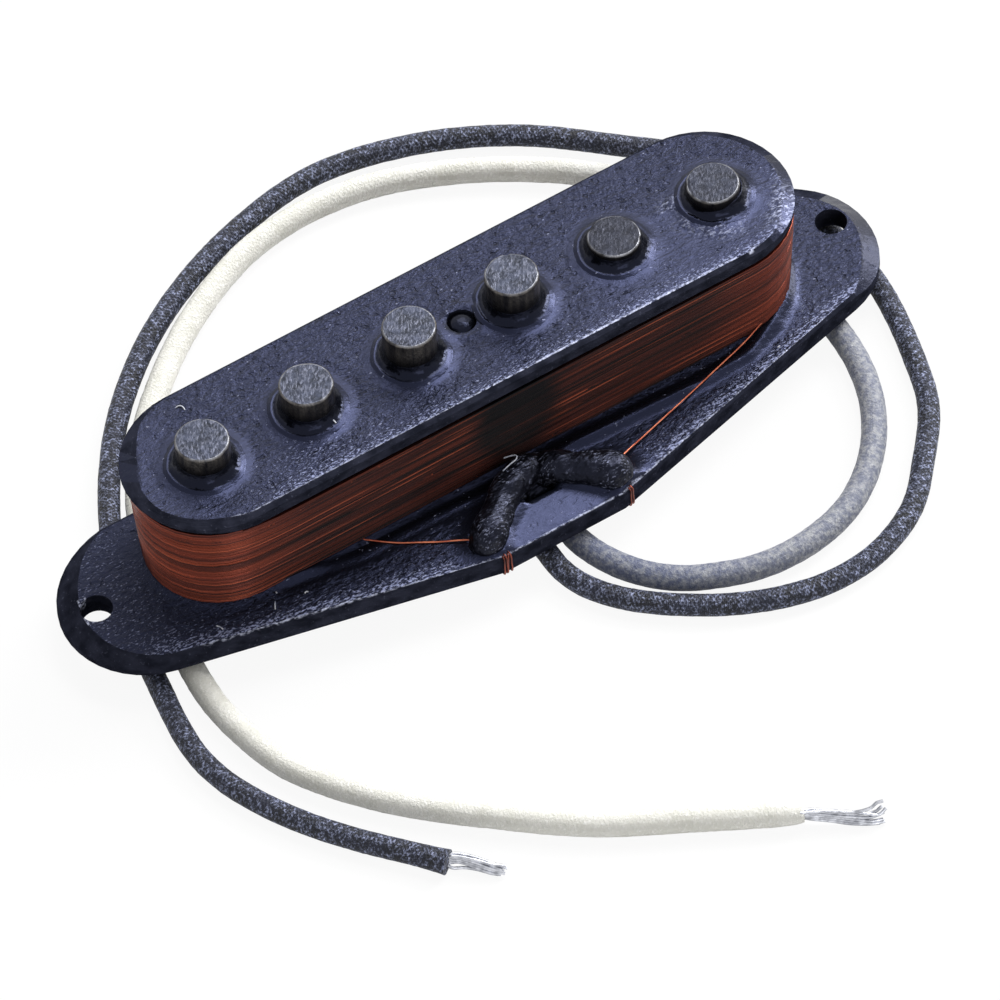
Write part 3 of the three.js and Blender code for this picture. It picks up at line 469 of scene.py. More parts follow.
def cast_magnet(name):
    """Cast magnet alloy, ground on its face and darkened by lacquer at its foot."""
    material, tree, place = new_material(name)
    ground, rim = (
        add_node(tree, "ShaderNodeAttribute", {"attribute_name": fact}).outputs["Fac"]
        for fact in ("ground", "rim"))
    height = add_node(tree, "ShaderNodeSeparateXYZ", Vector=place).outputs[2]
    ground_along = add_node(tree, "ShaderNodeVectorRotate", {"rotation_type": "Z_AXIS"},
                            Vector=place, Angle=0.57).outputs[0]
    patches = speckle(tree, place, (1.1, 1.1, 1.4), 4.0, 0.65, 0.36, 0.66)
    grain = speckle(tree, ground_along, (0.2, 0.55, 0.4), 3.0, 0.6, 0.46, 0.66)
    streaks = speckle(tree, place, (0.5, 0.5, 6.0))
    bright = speckle(tree, place, 1.2, 2.0, 0.5, 0.36, 0.58)
    foot = UPPER_TOP / MM
    rising = add_node(tree, "ShaderNodeMapRange", {"interpolation_type": "SMOOTHSTEP"},
                      Value=height, From_Min=foot + 0.9, From_Max=foot + 2.9).outputs[0]
    side = painted(tree, "#2f2e31", ("#5c5854", streaks))
    face = painted(tree, "#161921", ("#363a48", patches), ("#6e7180", grain, 0.38))
    metal = painted(tree, side, (face, ground))
    colour = painted(tree, "#0a0a11", (metal, rising), ("#86878d", rim, bright))
    rough = add_node(tree, "ShaderNodeMapRange", Value=patches, To_Min=0.3, To_Max=0.48)
    shader = add_node(tree, "ShaderNodeBsdfPrincipled", Base_Color=colour, Metallic=0.8,
                      Roughness=rough.outputs[0],
                      Normal=relief(tree, (patches, 0.05), (grain, 0.015)))
    add_node(tree, "ShaderNodeOutputMaterial", Surface=shader.outputs[0])
    return material


def enamelled_coil_wire(name):
    """Hair-thin enamelled copper wire under lacquer: glossy red-brown in uneven bands, with
    painted glints in reddish streaks and orange hairlines along the turns, brightest at the
    coil's ends by a painted highlight, and nearly black in a patch at the middle of its front."""
    material, tree, place = new_material(name)
    turn, along = (
        add_node(tree, "ShaderNodeAttribute", {"attribute_name": fact}).outputs["Fac"]
        for fact in ("turn", "along"))
    winding = add_node(tree, "ShaderNodeCombineXYZ", X=along, Y=turn).outputs[0]
    bands = speckle(tree, winding, (70, 5, 1), 3.0, 0.65, 0.4, 0.6)
    # The streaks and hairlines are painted glints: reddish and orange lines along the turns where
    # the wires catch the light
    streaks = speckle(tree, winding, (34, 1.1, 1), 2.0, 0.6, 0.45, 0.7)
    hair_glints = speckle(tree, winding, (22, 0.6, 1), 1.0, 0.5, 0.62, 0.72)
    x = add_node(tree, "ShaderNodeSeparateXYZ", Vector=place).outputs[0]
    out = add_node(tree, "ShaderNodeMath", {"operation": "ABSOLUTE"}, i0=x).outputs[0]
    # Redder towards the coil's rounded ends: a painted highlight there
    thin = add_node(tree, "ShaderNodeMapRange", {"interpolation_type": "SMOOTHSTEP"},
                    Value=out, From_Min=19.0, From_Max=30.0).outputs[0]
    end_highlight_share = add_node(tree, "ShaderNodeMapRange", Value=thin, To_Min=0.5).outputs[0]
    # A patch at the middle of the coil's front, behind the lead ends, goes nearly black, broken
    # up by the streaks
    tall = 1.3
    squeezed = add_node(tree, "ShaderNodeVectorMath", {"operation": "MULTIPLY"}, i0=place,
                        i1=(1, 1, 1 / tall)).outputs[0]
    dark_middle = (0.6, ROW_Y / MM - 7.2, (LOWER_TOP / MM + 6.5) / tall)
    from_dark_middle = add_node(tree, "ShaderNodeVectorMath", {"operation": "DISTANCE"}, i0=squeezed,
                           i1=dark_middle).outputs[1]
    darkened_middle = add_node(tree, "ShaderNodeMapRange", {"interpolation_type": "SMOOTHSTEP"},
                      Value=from_dark_middle, From_Min=3.0, From_Max=6.0, To_Min=1.0,
                      To_Max=0.0).outputs[0]
    darkened_middle = add_node(tree, "ShaderNodeMath", {"operation": "MULTIPLY_ADD", "use_clamp": True},
                      i0=streaks, i1=-0.25, i2=darkened_middle).outputs[0]
    dark = painted(tree, "#0d090b", ("#371815", bands))
    red = painted(tree, "#351714", ("#783424", bands))
    colour = painted(tree, dark, (red, thin), ("#7a351f", streaks, end_highlight_share, 0.8),
                     ("#b3583a", hair_glints, 0.5), ("#08080b", darkened_middle))
    shader = add_node(tree, "ShaderNodeBsdfPrincipled", Base_Color=colour, Metallic=0.75,
                      Roughness=0.3)
    add_node(tree, "ShaderNodeOutputMaterial", Surface=shader.outputs[0])
    return material


def mottled(name, size, detail, dark, light, metallic, roughness):
    """A material whose colour wanders between two in patches of one size."""
    material, tree, place = new_material(name)
    patches = speckle(tree, place, size, detail)
    shader = add_node(tree, "ShaderNodeBsdfPrincipled",
                      Base_Color=painted(tree, dark, (light, patches)), Metallic=metallic,
                      Roughness=roughness)
    add_node(tree, "ShaderNodeOutputMaterial", Surface=shader.outputs[0])
    return material


def loose_enamelled_wire(name, dark, light):
    """The coil's wire where it lies loose on the plates: orange copper, or dull red under wax."""
    return mottled(name, 1.2, 2.0, dark, light, 0.6, 0.35)


def brass(name):
    """Rolled brass of the eyelets: dull yellow with darker tarnish."""
    return mottled(name, 0.5, 3.0, "#a8894a", "#cdb57a", 1.0, 0.3)


def tinned_copper(name):
    """Tinned copper strands: bright silver with dull spots."""
    return mottled(name, 0.6, 3.0, "#9fa1a8", "#d9dbe2", 1.0, 0.28)


def stuck_fibre(name):
    """Stray cotton fibres and wax flecks caught in the lacquer, pale and matt."""
    return mottled(name, 0.4, 2.0, "#8f95a8", "#d6d8de", 0.0, 0.6)


def braided_cloth(name, dark, light, thread, weave_depth, stain_from, stain_fades, stain):
    """Braided cotton soaked in wax: diagonal threads, matt with waxy glints and fine fluff, and
    painted glints where the threads stand up. The threads lie about 0.7 mm apart round the
    jacket."""
    material, tree, place = new_material(name)
    uv = add_node(tree, "ShaderNodeUVMap", {"uv_map": "lead"}).outputs[0]
    turn, along = add_node(tree, "ShaderNodeSeparateXYZ", Vector=uv).outputs[:2]
    threads_round, crossing = 10, []
    for lay_length in (3.4, -3.4):
        wave = add_node(tree, "ShaderNodeMath", {"operation": "MULTIPLY_ADD"},
                        i0=along, i1=1 / lay_length, i2=turn)
        wave = add_node(tree, "ShaderNodeMath", {"operation": "MULTIPLY"},
                        i0=wave.outputs[0], i1=TAU * threads_round)
        wave = add_node(tree, "ShaderNodeMath", {"operation": "SINE"}, i0=wave.outputs[0])
        crossing.append(wave.outputs[0])
    crossed = add_node(tree, "ShaderNodeMath", {"operation": "MAXIMUM"}, i0=crossing[0],
                       i1=crossing[1]).outputs[0]
    weave = add_node(tree, "ShaderNodeMapRange", Value=crossed, From_Min=-1.0).outputs[0]
    fluff = speckle(tree, place, 0.3, 3.0, 0.7, 0.45, 0.6)
    clumps = speckle(tree, place, 0.5, 3.0, 0.65, 0.4, 0.64)
    patches = speckle(tree, place, 2.4, 3.0)
    stained, soaked = (
        add_node(tree, "ShaderNodeMapRange", {"interpolation_type": "SMOOTHSTEP"}, Value=along,
                 From_Min=start, From_Max=end, To_Min=most, To_Max=0.0).outputs[0]
        for start, end, most in ((stain_from, stain_from + stain_fades, 1.0), (6, 22, 0.12)))
    blotch = add_node(tree, "ShaderNodeMapRange", Value=clumps, To_Min=0.92, To_Max=0.64)
    blotch = add_node(tree, "ShaderNodeMath", {"operation": "ADD", "use_clamp": True},
                      i0=blotch.outputs[0], i1=soaked).outputs[0]
    # The thread coat is a painted glint: raised threads of the weave lighter where they would
    # catch the light
    colour = painted(tree, dark, (light, patches), (thread, fluff, weave, clumps),
                     (stain, stained, blotch))
    shader = add_node(tree, "ShaderNodeBsdfPrincipled", Base_Color=colour, Roughness=0.55,
                      Normal=relief(tree, (weave, weave_depth), (fluff, 0.03)),
                      Specular_IOR_Level=0.3, Sheen_Weight=0.05)
    add_node(tree, "ShaderNodeOutputMaterial", Surface=shader.outputs[0])
    return material


def lacquered_cloth(name):
    """Cloth jackets buried in black lacquer: dark, lumpy and glossy with pale worn threads."""
    material, tree, place = new_material(name)
    threads = speckle(tree, place, (0.4, 0.14, 0.28), 3.0, 0.6, 0.56, 0.68)
    lumpy = speckle(tree, place, (1.3, 0.6, 0.9))
    where = speckle(tree, place, 1.6, 2.0, 0.5, 0.44, 0.62)
    colour = painted(tree, "#050508", ("#8a8fa8", threads, where))
    shader = add_node(tree, "ShaderNodeBsdfPrincipled", Base_Color=colour, Roughness=0.34,
                      Normal=relief(tree, (lumpy, 0.08), (threads, 0.02)),
                      Specular_IOR_Level=0.25, Specular_Tint=hex_to_linear("#c6cfff"))
    add_node(tree, "ShaderNodeOutputMaterial", Surface=shader.outputs[0])
    return material


def material_named(name, maker, *facts):
    """The material of that name, made once."""
    return bpy.data.materials.get(name) or maker(name, *facts)


# Plates

def dense_copy(node, spacing):
    """A merged copy of a plate's mesh whose upward faces are cut into small squares."""
    made = bmesh.new()
    made.from_mesh(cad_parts[node].data)
    bmesh.ops.remove_doubles(made, verts=made.verts, dist=2e-6)
    bmesh.ops.dissolve_limit(made, angle_limit=math.radians(0.5), verts=made.verts,
                             edges=made.edges)
    low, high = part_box(node)
    for axis in (0, 1):
        normal = Vector((axis == 0, axis == 1, 0))
        steps = int((high[axis] - low[axis]) / spacing)
        for step in range(1, steps):
            plane = Vector(low)
            plane[axis] = low[axis] + (high[axis] - low[axis]) * step / steps
            faces = [f for f in made.faces if f.normal.z > 0.3]
            geometry = {v for f in faces for v in f.verts} | {e for f in faces for e in f.edges}
            bmesh.ops.bisect_plane(made, geom=list(geometry) + faces, plane_co=plane,
                                   plane_no=normal, dist=1e-7)
    return made


def dress_plate(node, name, height_at, marks_at, spacing):
    """A plate with its lacquer's swells in its top. Each point carries how worn its edge is, with
    the edge's painted highlight; how far its lacquer is flaking, with the painted glare on the
    upper plate's right bevel; how many painted glints it has; and how dull and pooled it is
    there."""
    made = dense_copy(node, spacing)
    top = max(v.co.z for v in made.verts)
    facts = ("edge", "flaked_and_glare", "glinting", "dull", "pooled")
    layers = [made.verts.layers.float.new(fact) for fact in facts]
    for vert in made.verts:
        x, y = vert.co.x / MM, (vert.co.y - ROW_Y) / MM
        marks = list(marks_at(x, y))
        depth = (top - vert.co.z) / MM
        inside = all(f.normal.z > 0.95 for f in vert.link_faces)
        if depth > 0.001:
            marks = [0, marks[1] * (depth < 1.0), 0, marks[3], 1]
        elif inside:
            marks[0] = 0
            vert.co.z += height_at(x, y) * MM
        for layer, value in zip(layers, marks):
            vert[layer] = value
    # The drilled alignment hole, drawn a little wider and where the photograph shows it
    if node == "top_flatwork":
        for vert in made.verts:
            x, y = vert.co.x / MM, (vert.co.y - ROW_Y) / MM
            near = smooth_step(2.6, 1.45, math.hypot(x, y - DRILLED_Y))
            vert.co.x += (ALIGNMENT_HOLE[0] + 0.1 * x) * near * MM
            vert.co.y += (ALIGNMENT_HOLE[1] - DRILLED_Y + 0.1 * (y - DRILLED_Y)) * near * MM
    # Lacquer has kept its shine on the bevels that face right, less far back on the upper plate
    back_of_shine = 0.04 if node == "top_flatwork" else 0.3
    for face in made.faces:
        face.smooth = True
        x, y, z = face.normal
        shining = z > 0.6 and x > 0.2 and y < back_of_shine
        face.material_index = 0 if z > 0.95 or shining else 1
    for edge in made.edges:
        if len(edge.link_faces) == 2 and edge.calc_face_angle() > math.radians(22):
            edge.smooth = False
    bmesh.ops.triangulate(made, faces=[f for f in made.faces if len(f.verts) > 4])
    plate = new_object(name, to_mesh(made, name),
                       material_named("lacquered_vulcanised_fibre", lacquered_fibre),
                       material_named("sanded_vulcanised_fibre", sanded_fibre))
    finish_piece(plate, [node])


def distance_to_line(x, y, points):
    """The distance from a place to a line of points, in the same units."""
    least = math.inf
    for (ax, ay), (bx, by) in zip(points, points[1:]):
        length = (bx - ax) ** 2 + (by - ay) ** 2
        share = max(0.0, min(1.0, ((x - ax) * (bx - ax) + (y - ay) * (by - ay)) / length))
        least = min(least, math.hypot(x - ax - share * (bx - ax), y - ay - share * (by - ay)))
    return least


def from_magnets(x, y):
    """The distance to the nearest magnet's axis, in millimetres, and which magnet it is."""
    return min((math.hypot(x - mx / MM, y), number) for number, mx in enumerate(MAGNET_X))


def upper_height(x, y):
    """How far the lacquer stands above the upper plate, in millimetres."""
    distance, number = from_magnets(x, y)
    angle = math.atan2(y, x - MAGNET_X[number] / MM)
    uneven = wander(math.cos(angle) * 2, math.sin(angle) * 2, number * 7.3, 1.0)
    swell = (0.16 + 0.06 * uneven) * math.exp(-max(distance - 3.2, 0) / (0.6 + 0.2 * uneven))
    moat = -0.06 * math.exp(-((distance - 4.6) / 0.7) ** 2)
    hole = math.hypot(x - ALIGNMENT_HOLE[0], y - ALIGNMENT_HOLE[1]) - 1.7
    hole = 0.12 * math.exp(-(hole / 0.4) ** 2)
    ragged = sum(math.exp(-(((x - a) / 0.9) ** 2 + ((y - b) / 0.7) ** 2)) for a, b in FLAKED)
    lumps = 0.05 * wander(x, y, 0, 3.0) + 0.03 * wander(x, y, 5, 1.1)
    return swell + moat + hole + lumps + ragged * 0.3 * abs(wander(x, y, 9, 0.8))


def upper_marks(x, y):
    """How worn the upper plate's edge is, with its painted highlight; its lacquer's flaking, with
    the painted glare on the right bevel; its painted glints; and how dull and pooled it is.
    """
    over, behind = max(abs(x) - UPPER_HALF_STRAIGHT, 0), y - UPPER_MIDDLE_Y
    if over or behind < 0:
        from_edge = UPPER_END_RADIUS - math.hypot(over, behind)
    else:
        from_edge = UPPER_TO_BACK - behind
    # The front edge's pale line: worn fibre, and a painted highlight where the edge catches the
    # light
    front = smooth_step(-29, -26.5, x) * (y < -3.5) * smooth_step(27, 25.6, x)
    edge = front * (0.6 + 0.4 * smooth_step(-10, 12, x))
    flaked_and_glare = sum(math.exp(-(((x - a) / 1.1) ** 2 + ((y - b) / 0.8) ** 2)) for a, b in FLAKED)
    # A painted glare on the upper plate's right bevel, carried with the flaking: pale specks that
    # stand in for the lamps' reflection there
    bevel = math.exp(-(((x - 30.7) / 1.8) ** 2 + ((y + 4.5) / 2.0) ** 2))
    flaked_and_glare = 0.7 * flaked_and_glare + 1.4 * bevel * smooth_step(2.2, 1.6, from_edge)
    # How many painted glints the lacquer shows: most near the front edge, and more in a patch
    glinting = (math.exp(-max(from_edge - 0.5, 0) / 1.2) * (0.1 + 0.9 * (y < 0))
              * smooth_step(-30, -20, x))
    patch = 0.7 * math.exp(-(((x + 18.0) / 5.5) ** 2 + ((y + 3.5) / 2.6) ** 2))
    distance = from_magnets(x, y)[0]
    pooled = smooth_step(4.7, 3.9, distance)
    pooled = max(pooled, 0.6 * smooth_step(8, 16, x) * smooth_step(3.0, 0.0, y),
                 0.6 * smooth_step(-25, -29, x))
    return (edge, min(1.0, flaked_and_glare), min(1.0, glinting + 0.6 * patch + 0.12),
            0.12 * smooth_step(-20, -28, x), pooled)


def colour_property(name, description, colour):
    return FloatVectorProperty(name=name, description=description, subtype="COLOR", size=4,
                               min=0.0, max=1.0, default=hex_to_linear(colour))


class PickupColours(bpy.types.PropertyGroup):
    lacquer_dark: colour_property(
        "Lacquer, dark", "Darkest colour of the lacquer on the plates", "#08090e")
    lacquer_light: colour_property(
        "Lacquer, light", "Lightest colour of the lacquer on the plates", "#0f1119")
    # Painted glints: the colour of the pale specks that stand in for light on the pebble
    lacquer_glinting: colour_property(
        "Glinting lacquer", "Specks where the lacquer is rubbed", "#9aa1c2")
    # Worn fibre at the edges, also the colour of the painted highlight along the front edges
    worn_and_lit_fibre: colour_property(
        "Worn and lit fibre", "Bare fibre at the plates' worn edges", "#c4c9e0")


def length_property(name, description, millimetres):
    return FloatProperty(name=name, description=description, default=millimetres * MM,
                         unit="LENGTH")


class PickupSizes(bpy.types.PropertyGroup):
    wire_drawn: length_property(
        "Coil wire drawn", "Diameter that the coil's hair-thin wire is drawn with", 0.175)
    coil_turns: IntProperty(
        name="Turns drawn", description="Turns of the outer layer that are drawn", default=60)
    loose_wire: length_property(
        "Loose wire drawn", "Diameter that the wires on the plate are drawn with", 0.16)
    black_lead: length_property("Black lead", "Diameter of the black lead's cloth jacket", 2.0)
    white_lead: length_property("White lead", "Diameter of the white lead's cloth jacket", 2.3)
    strand: length_property("Strand", "Diameter of one tinned strand", 0.3)
    fibre: length_property(
        "Stuck fibre", "Diameter of a cotton fibre stuck in the lacquer", 0.13)
    plate_grid: length_property(
        "Plate grid", "Spacing of the points that carry the lacquer's swells", 0.4)


def coil_half_width(z):
    """The coil's outside half width at a height over the lower plate, in millimetres."""
    flare, height = 0.6, 9.98
    return COIL_FOOT_RADIUS + flare * z / height


def from_anchors(x, y):
    """The distance to the nearer lacquered lead end, in millimetres."""
    return min(distance_to_line(x, y, line) for line in ANCHOR_LINES)


def lower_height(x, y):
    """How far the lacquer stands above the lower plate, in millimetres."""
    from_coil = math.hypot(max(abs(x) - COIL_HALF_STRAIGHT, 0), y) - COIL_FOOT_RADIUS
    foot = 0.4 * math.exp(-max(from_coil, 0) / 0.35)
    along = smooth_step(-3, 6, x)
    tall, wide = 0.2 + 0.35 * along, 0.4 + 0.2 * along
    tall *= 1 + 0.25 * wander(x, y, 3, 2.0)
    ridge = tall * math.exp(-(distance_to_line(x, y, RIDGE_LINE) / wide) ** 2)
    fillet = 0.8 * math.exp(-max(from_anchors(x, y) - 1.1, 0) / 0.6)
    pool = 0.14 * max(y - FRONT_Y, 0) * smooth_step(6.2, 4.6, abs(x))
    pool *= smooth_step(-10.5, -11.8, y)
    lumps = 0.03 * wander(x, y, 1, 3.5) + 0.02 * wander(x, y, 6, 1.2)
    return foot + ridge + max(fillet, pool) + lumps


def lower_marks(x, y):
    """How worn the lower plate's edge is, with its painted highlight; its lacquer's flaking, none
    here; its painted glints; and how dull and pooled it is.
    """
    from_edge = distance_to_line(x, y, FRONT_EDGE)
    # The front edge's pale line is worn fibre and a painted highlight; the ring round the left
    # screw hole is worn
    edge = 0.75 * (from_edge < 0.7) * smooth_step(36, 31, abs(x))
    if math.hypot(x + SCREW_HOLE_X, y) < 1.9 and x < -38.2:
        edge = 0.8
    # How many painted glints the lacquer shows: most near the front edge and on the left tab,
    # fewer where it has pooled
    glinting = math.exp(-max(from_edge - 0.6, 0) / 1.1) + smooth_step(-28, -36, x) * 0.3
    pooled = max(smooth_step(4.6, 2.4, from_anchors(x, y)),
                 smooth_step(6.5, 5.0, abs(x)) * smooth_step(-11, -12, y),
                 smooth_step(1.7, 1.0, distance_to_line(x, y, RIDGE_LINE)))
    return (edge, 0.0, min(1.0, glinting + 0.15) * (1 - 0.8 * pooled),
            0.8 * smooth_step(-24, -33, x), pooled)


def magnet_profile(top):
    """Radius and height pairs of a magnet from its foot to the middle of its ground face."""
    chamfer, wide = 0.16, MAGNET_RADIUS
    profile = [(0, 0), (wide - 0.35, 0), (wide, 0.35), (wide, 2.7)]
    profile += [(wide, top - chamfer - rise) for rise in (4, 2, 1.2, 0.6, 0.2, 0.03)]
    profile += [(wide - 0.01, top - chamfer * 0.8), (wide - chamfer * 0.85, top - 0.02)]
    return profile + [(radius, top) for radius in (wide - chamfer, 2.2, 2.1, 1.6, 1.0, 0.4, 0)]


def spin(profile, centre_x, sides, nudge):
    """A turned body about a magnet's axis. nudge moves each point, given in millimetres. Points
    of its ground face and of its rim carry the values ground and rim."""
    made = bmesh.new()
    ground = made.verts.layers.float.new("ground")
    rim = made.verts.layers.float.new("rim")
    rings = []
    top = profile[-1][1]
    for radius, height in profile:
        ring = []
        for side in range(sides if radius else 1):
            vert = made.verts.new(nudge(radius, height, TAU * side / sides))
            vert[ground] = 1.0 if height == top else 0.0
            vert[rim] = 1.0 if top - 0.1 < height and radius > 2.21 else 0.0
            ring.append(vert)
        rings.append(ring)
    for face in join_rings(made, zip(rings, rings[1:])):
        face.smooth = True
    bmesh.ops.translate(made, verts=made.verts, vec=(centre_x, ROW_Y, 0))
    return made


class PICKUP_OT_camera(bpy.types.Operator):
    """Set the camera to the photograph's view"""
    bl_idname = "pickup.camera"
    bl_label = "Camera"

    def execute(self, context):
        azimuth, elevation, roll = (math.radians(v) for v in (-29.2025, 51.5186, -4.3262))
        towards = Vector((math.sin(azimuth) * math.cos(elevation),
                          -math.cos(azimuth) * math.cos(elevation), math.sin(elevation)))
        level = (-towards).cross(Vector((0, 0, 1))).normalized()
        upright = level.cross(-towards)
        right = level * math.cos(roll) + upright * math.sin(roll)
        up = upright * math.cos(roll) - level * math.sin(roll)
        data = bpy.data.cameras.new("photo_camera")
        data.lens, data.sensor_width = 323.04, 36.0
        data.clip_start, data.clip_end = 0.01, 20.0
        camera = bpy.data.objects.new("photo_camera", data)
        turned = Matrix((right, up, towards)).transposed().to_4x4()
        turned.translation = Vector((-239.67, -429.3, 614.99)) * MM
        camera.matrix_world = turned
        context.scene.collection.objects.link(camera)
        context.scene.camera = camera
        return {"FINISHED"}


class PICKUP_OT_leads(bpy.types.Operator):
    """Make the two free cloth leads with their bare strands"""
    bl_idname = "pickup.leads"
    bl_label = "Cloth leads"

    def execute(self, context):
        sizes = context.scene.pickup_sizes
        # Each braid's third colour is its painted glint on the raised threads
        black = material_named("waxed_black_braid", braided_cloth, "#080a13", "#161a2b",
                               "#a2aacb", 0.05, -30, 1, "#14161f")
        white = material_named("waxed_white_braid", braided_cloth, "#d4d3ca", "#e0dfd8",
                               "#f1f0ec", 0.012, 62, 25, "#5a6076")
        silver = material_named("tinned_copper_strand", tinned_copper)
        for name, route, diameter, cloth, strands in (
                ("black", BLACK_ROUTE, sizes.black_lead, black, BLACK_STRANDS),
                ("white", WHITE_ROUTE, sizes.white_lead, white, WHITE_STRANDS)):
            line, length = smooth_line([Vector(p) * MM for p in route], 0.35 * MM)
            flare = 0.13 if name == "black" else -0.28

            def radius_at(distance, angle, diameter=diameter, flare=flare, length=length):
                end = math.exp(-(length - distance) / (1.3 * MM))
                swell = 0.02 * noise.noise((distance / (2.2 * MM), angle / 2, 0))
                swell += 0.03 * noise.noise((distance / (0.5 * MM), math.sin(angle) * 2,
                                             math.cos(angle) * 2))
                return diameter / 2 * (1 + swell + flare * end)

            made = sweep(line, 24, radius_at)
            lead = new_object(f"{name}_cloth_lead", to_mesh(made, name), cloth)
            finish_piece(lead, [f"{name}_lead"])
            bundle = wires(f"{name}_tinned_strands",
                           [smooth_line([Vector(p) * MM for p in points], 0.15 * MM)[0]
                            for points in strands],
                           sizes.strand, 8, silver)
            finish_piece(bundle, [f"{name}_lead_strands"])
        return {"FINISHED"}


class PICKUP_OT_plates(bpy.types.Operator):
    """Make the two lacquered fibre plates"""
    bl_idname = "pickup.plates"
    bl_label = "Fibre plates"

    def execute(self, context):
        grid = context.scene.pickup_sizes.plate_grid
        dress_plate("bottom_flatwork", "lower_fibre_plate", lower_height, lower_marks, grid)
        dress_plate("top_flatwork", "upper_fibre_plate", upper_height, upper_marks, grid)
        return {"FINISHED"}


class PICKUP_OT_magnets(bpy.types.Operator):
    """Make the six rod magnets"""
    bl_idname = "pickup.magnets"
    bl_label = "Magnets"

    def execute(self, context):
        alloy = material_named("cast_magnet_alloy", cast_magnet)
        for number, name in enumerate(MAGNETS):
            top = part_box(name)[1].z / MM

            def nudge(radius, height, angle, top=top, number=number):
                x, y = radius * math.cos(angle), radius * math.sin(angle)
                rough = 0.012 * wander(x, y, height + 20 * number, 0.6)
                chip = 0.0
                if abs(radius - 2.25) < 0.16 and top - height < 0.3:
                    chip = max(wander(x, y, 30 * number, 0.9) - 0.35, 0) * 0.3
                lean = 0.2 * height / top if number == 5 else 0.0
                return Vector((x * (1 - chip * 0.3) - lean, y * (1 - chip * 0.3),
                               max(height + (rough - chip) * (height > 3), 0))) * MM

            made = spin(magnet_profile(top), MAGNET_X[number], 72, nudge)
            piece = new_object(f"cast_magnet_{number + 1}", to_mesh(made, name), alloy)
            finish_piece(piece, [name])
        return {"FINISHED"}


class PICKUP_OT_lacquer(bpy.types.Operator):
    """Make the lacquer that has pooled round the magnets and in the alignment hole"""
    bl_idname = "pickup.lacquer"
    bl_label = "Pooled lacquer"

    def execute(self, context):
        gloss = material_named("pooled_black_lacquer", clear_black_lacquer)
        skin = material_named("lacquered_vulcanised_fibre", lacquered_fibre)
        made = bmesh.new()
        pooled = made.verts.layers.float.new("pooled")
        radii = (2.37, 2.41, 2.47, 2.55, 2.65, 2.76, 2.87, 2.97, 3.06, 3.15, 3.24, 3.34, 3.45,
                 3.58, 3.72, 3.72, 2.37)
        sides, last_glossy = 72, 8
        for number, centre_x in enumerate(MAGNET_X):
            rings = []
            for radius in radii:
                ring = []
                for side in range(sides):
                    angle = TAU * side / sides
                    round_by = Vector((math.cos(angle), math.sin(angle), 0))
                    swell = 1 + 0.5 * noise.noise(round_by * 1.6 + Vector((0, 0, 5 * number)))
                    swell += 0.25 * noise.noise(round_by * 5 + Vector((0, 0, 9 * number)))
                    spread = 1 + 0.08 * (swell - 1) * smooth_step(2.45, 2.9, radius)
                    x, y = radius * spread * round_by.x, radius * spread * round_by.y
                    z = 1.1 * math.exp((radii[0] - radius) / 0.26)
                    lip = max(-round_by.x, 0) + max(round_by.y, 0)
                    z += 0.06 * lip * swell * math.exp(-((radius - 3.3) / 0.12) ** 2)
                    out = smooth_step(2.7, 3.5, radius)
                    z += out * upper_height(centre_x / MM + x, y) + (1 - out) * 0.16 * swell
                    z += 0.02 * wander(x, y, 13 * number, 0.5) - 0.03 * (radius > 3.6)
                    ring.append(made.verts.new(
                        (centre_x + x * MM, ROW_Y + y * MM, UPPER_TOP + z * MM)))
                    ring[-1][pooled] = 1.0
                rings.append(ring)
            for vert in rings[-2] + rings[-1]:
                vert.co.z = UPPER_TOP - 0.35 * MM
            faces = join_rings(made, zip(rings[1:] + rings[:1], rings))
            for place, face in enumerate(faces):
                face.material_index = 1 if place // sides > last_glossy else 0
        dome = [(0, 0.06), (0.4, 0.03), (0.75, -0.06), (1.02, -0.2), (1.24, -0.44),
                (1.38, -0.75), (1.38, -1.3)]
        sides, rings = 36, []
        for radius, height in dome:
            count = sides if radius else 1
            rings.append([made.verts.new(from_row(
                ALIGNMENT_HOLE[0] + radius * math.cos(TAU * s / sides),
                ALIGNMENT_HOLE[1] + radius * math.sin(TAU * s / sides),
                (UPPER_TOP - LOWER_TOP) / MM + height)) for s in range(count)])
        join_rings(made, zip(rings[1:], rings))
        made.faces.new(rings[-1][::-1])
        for face in made.faces:
            face.smooth = True
        bmesh.ops.recalc_face_normals(made, faces=made.faces)
        piece = new_object("upper_lacquer_pools", to_mesh(made, "pools"), gloss, skin)
        finish_piece(piece)
        return {"FINISHED"}


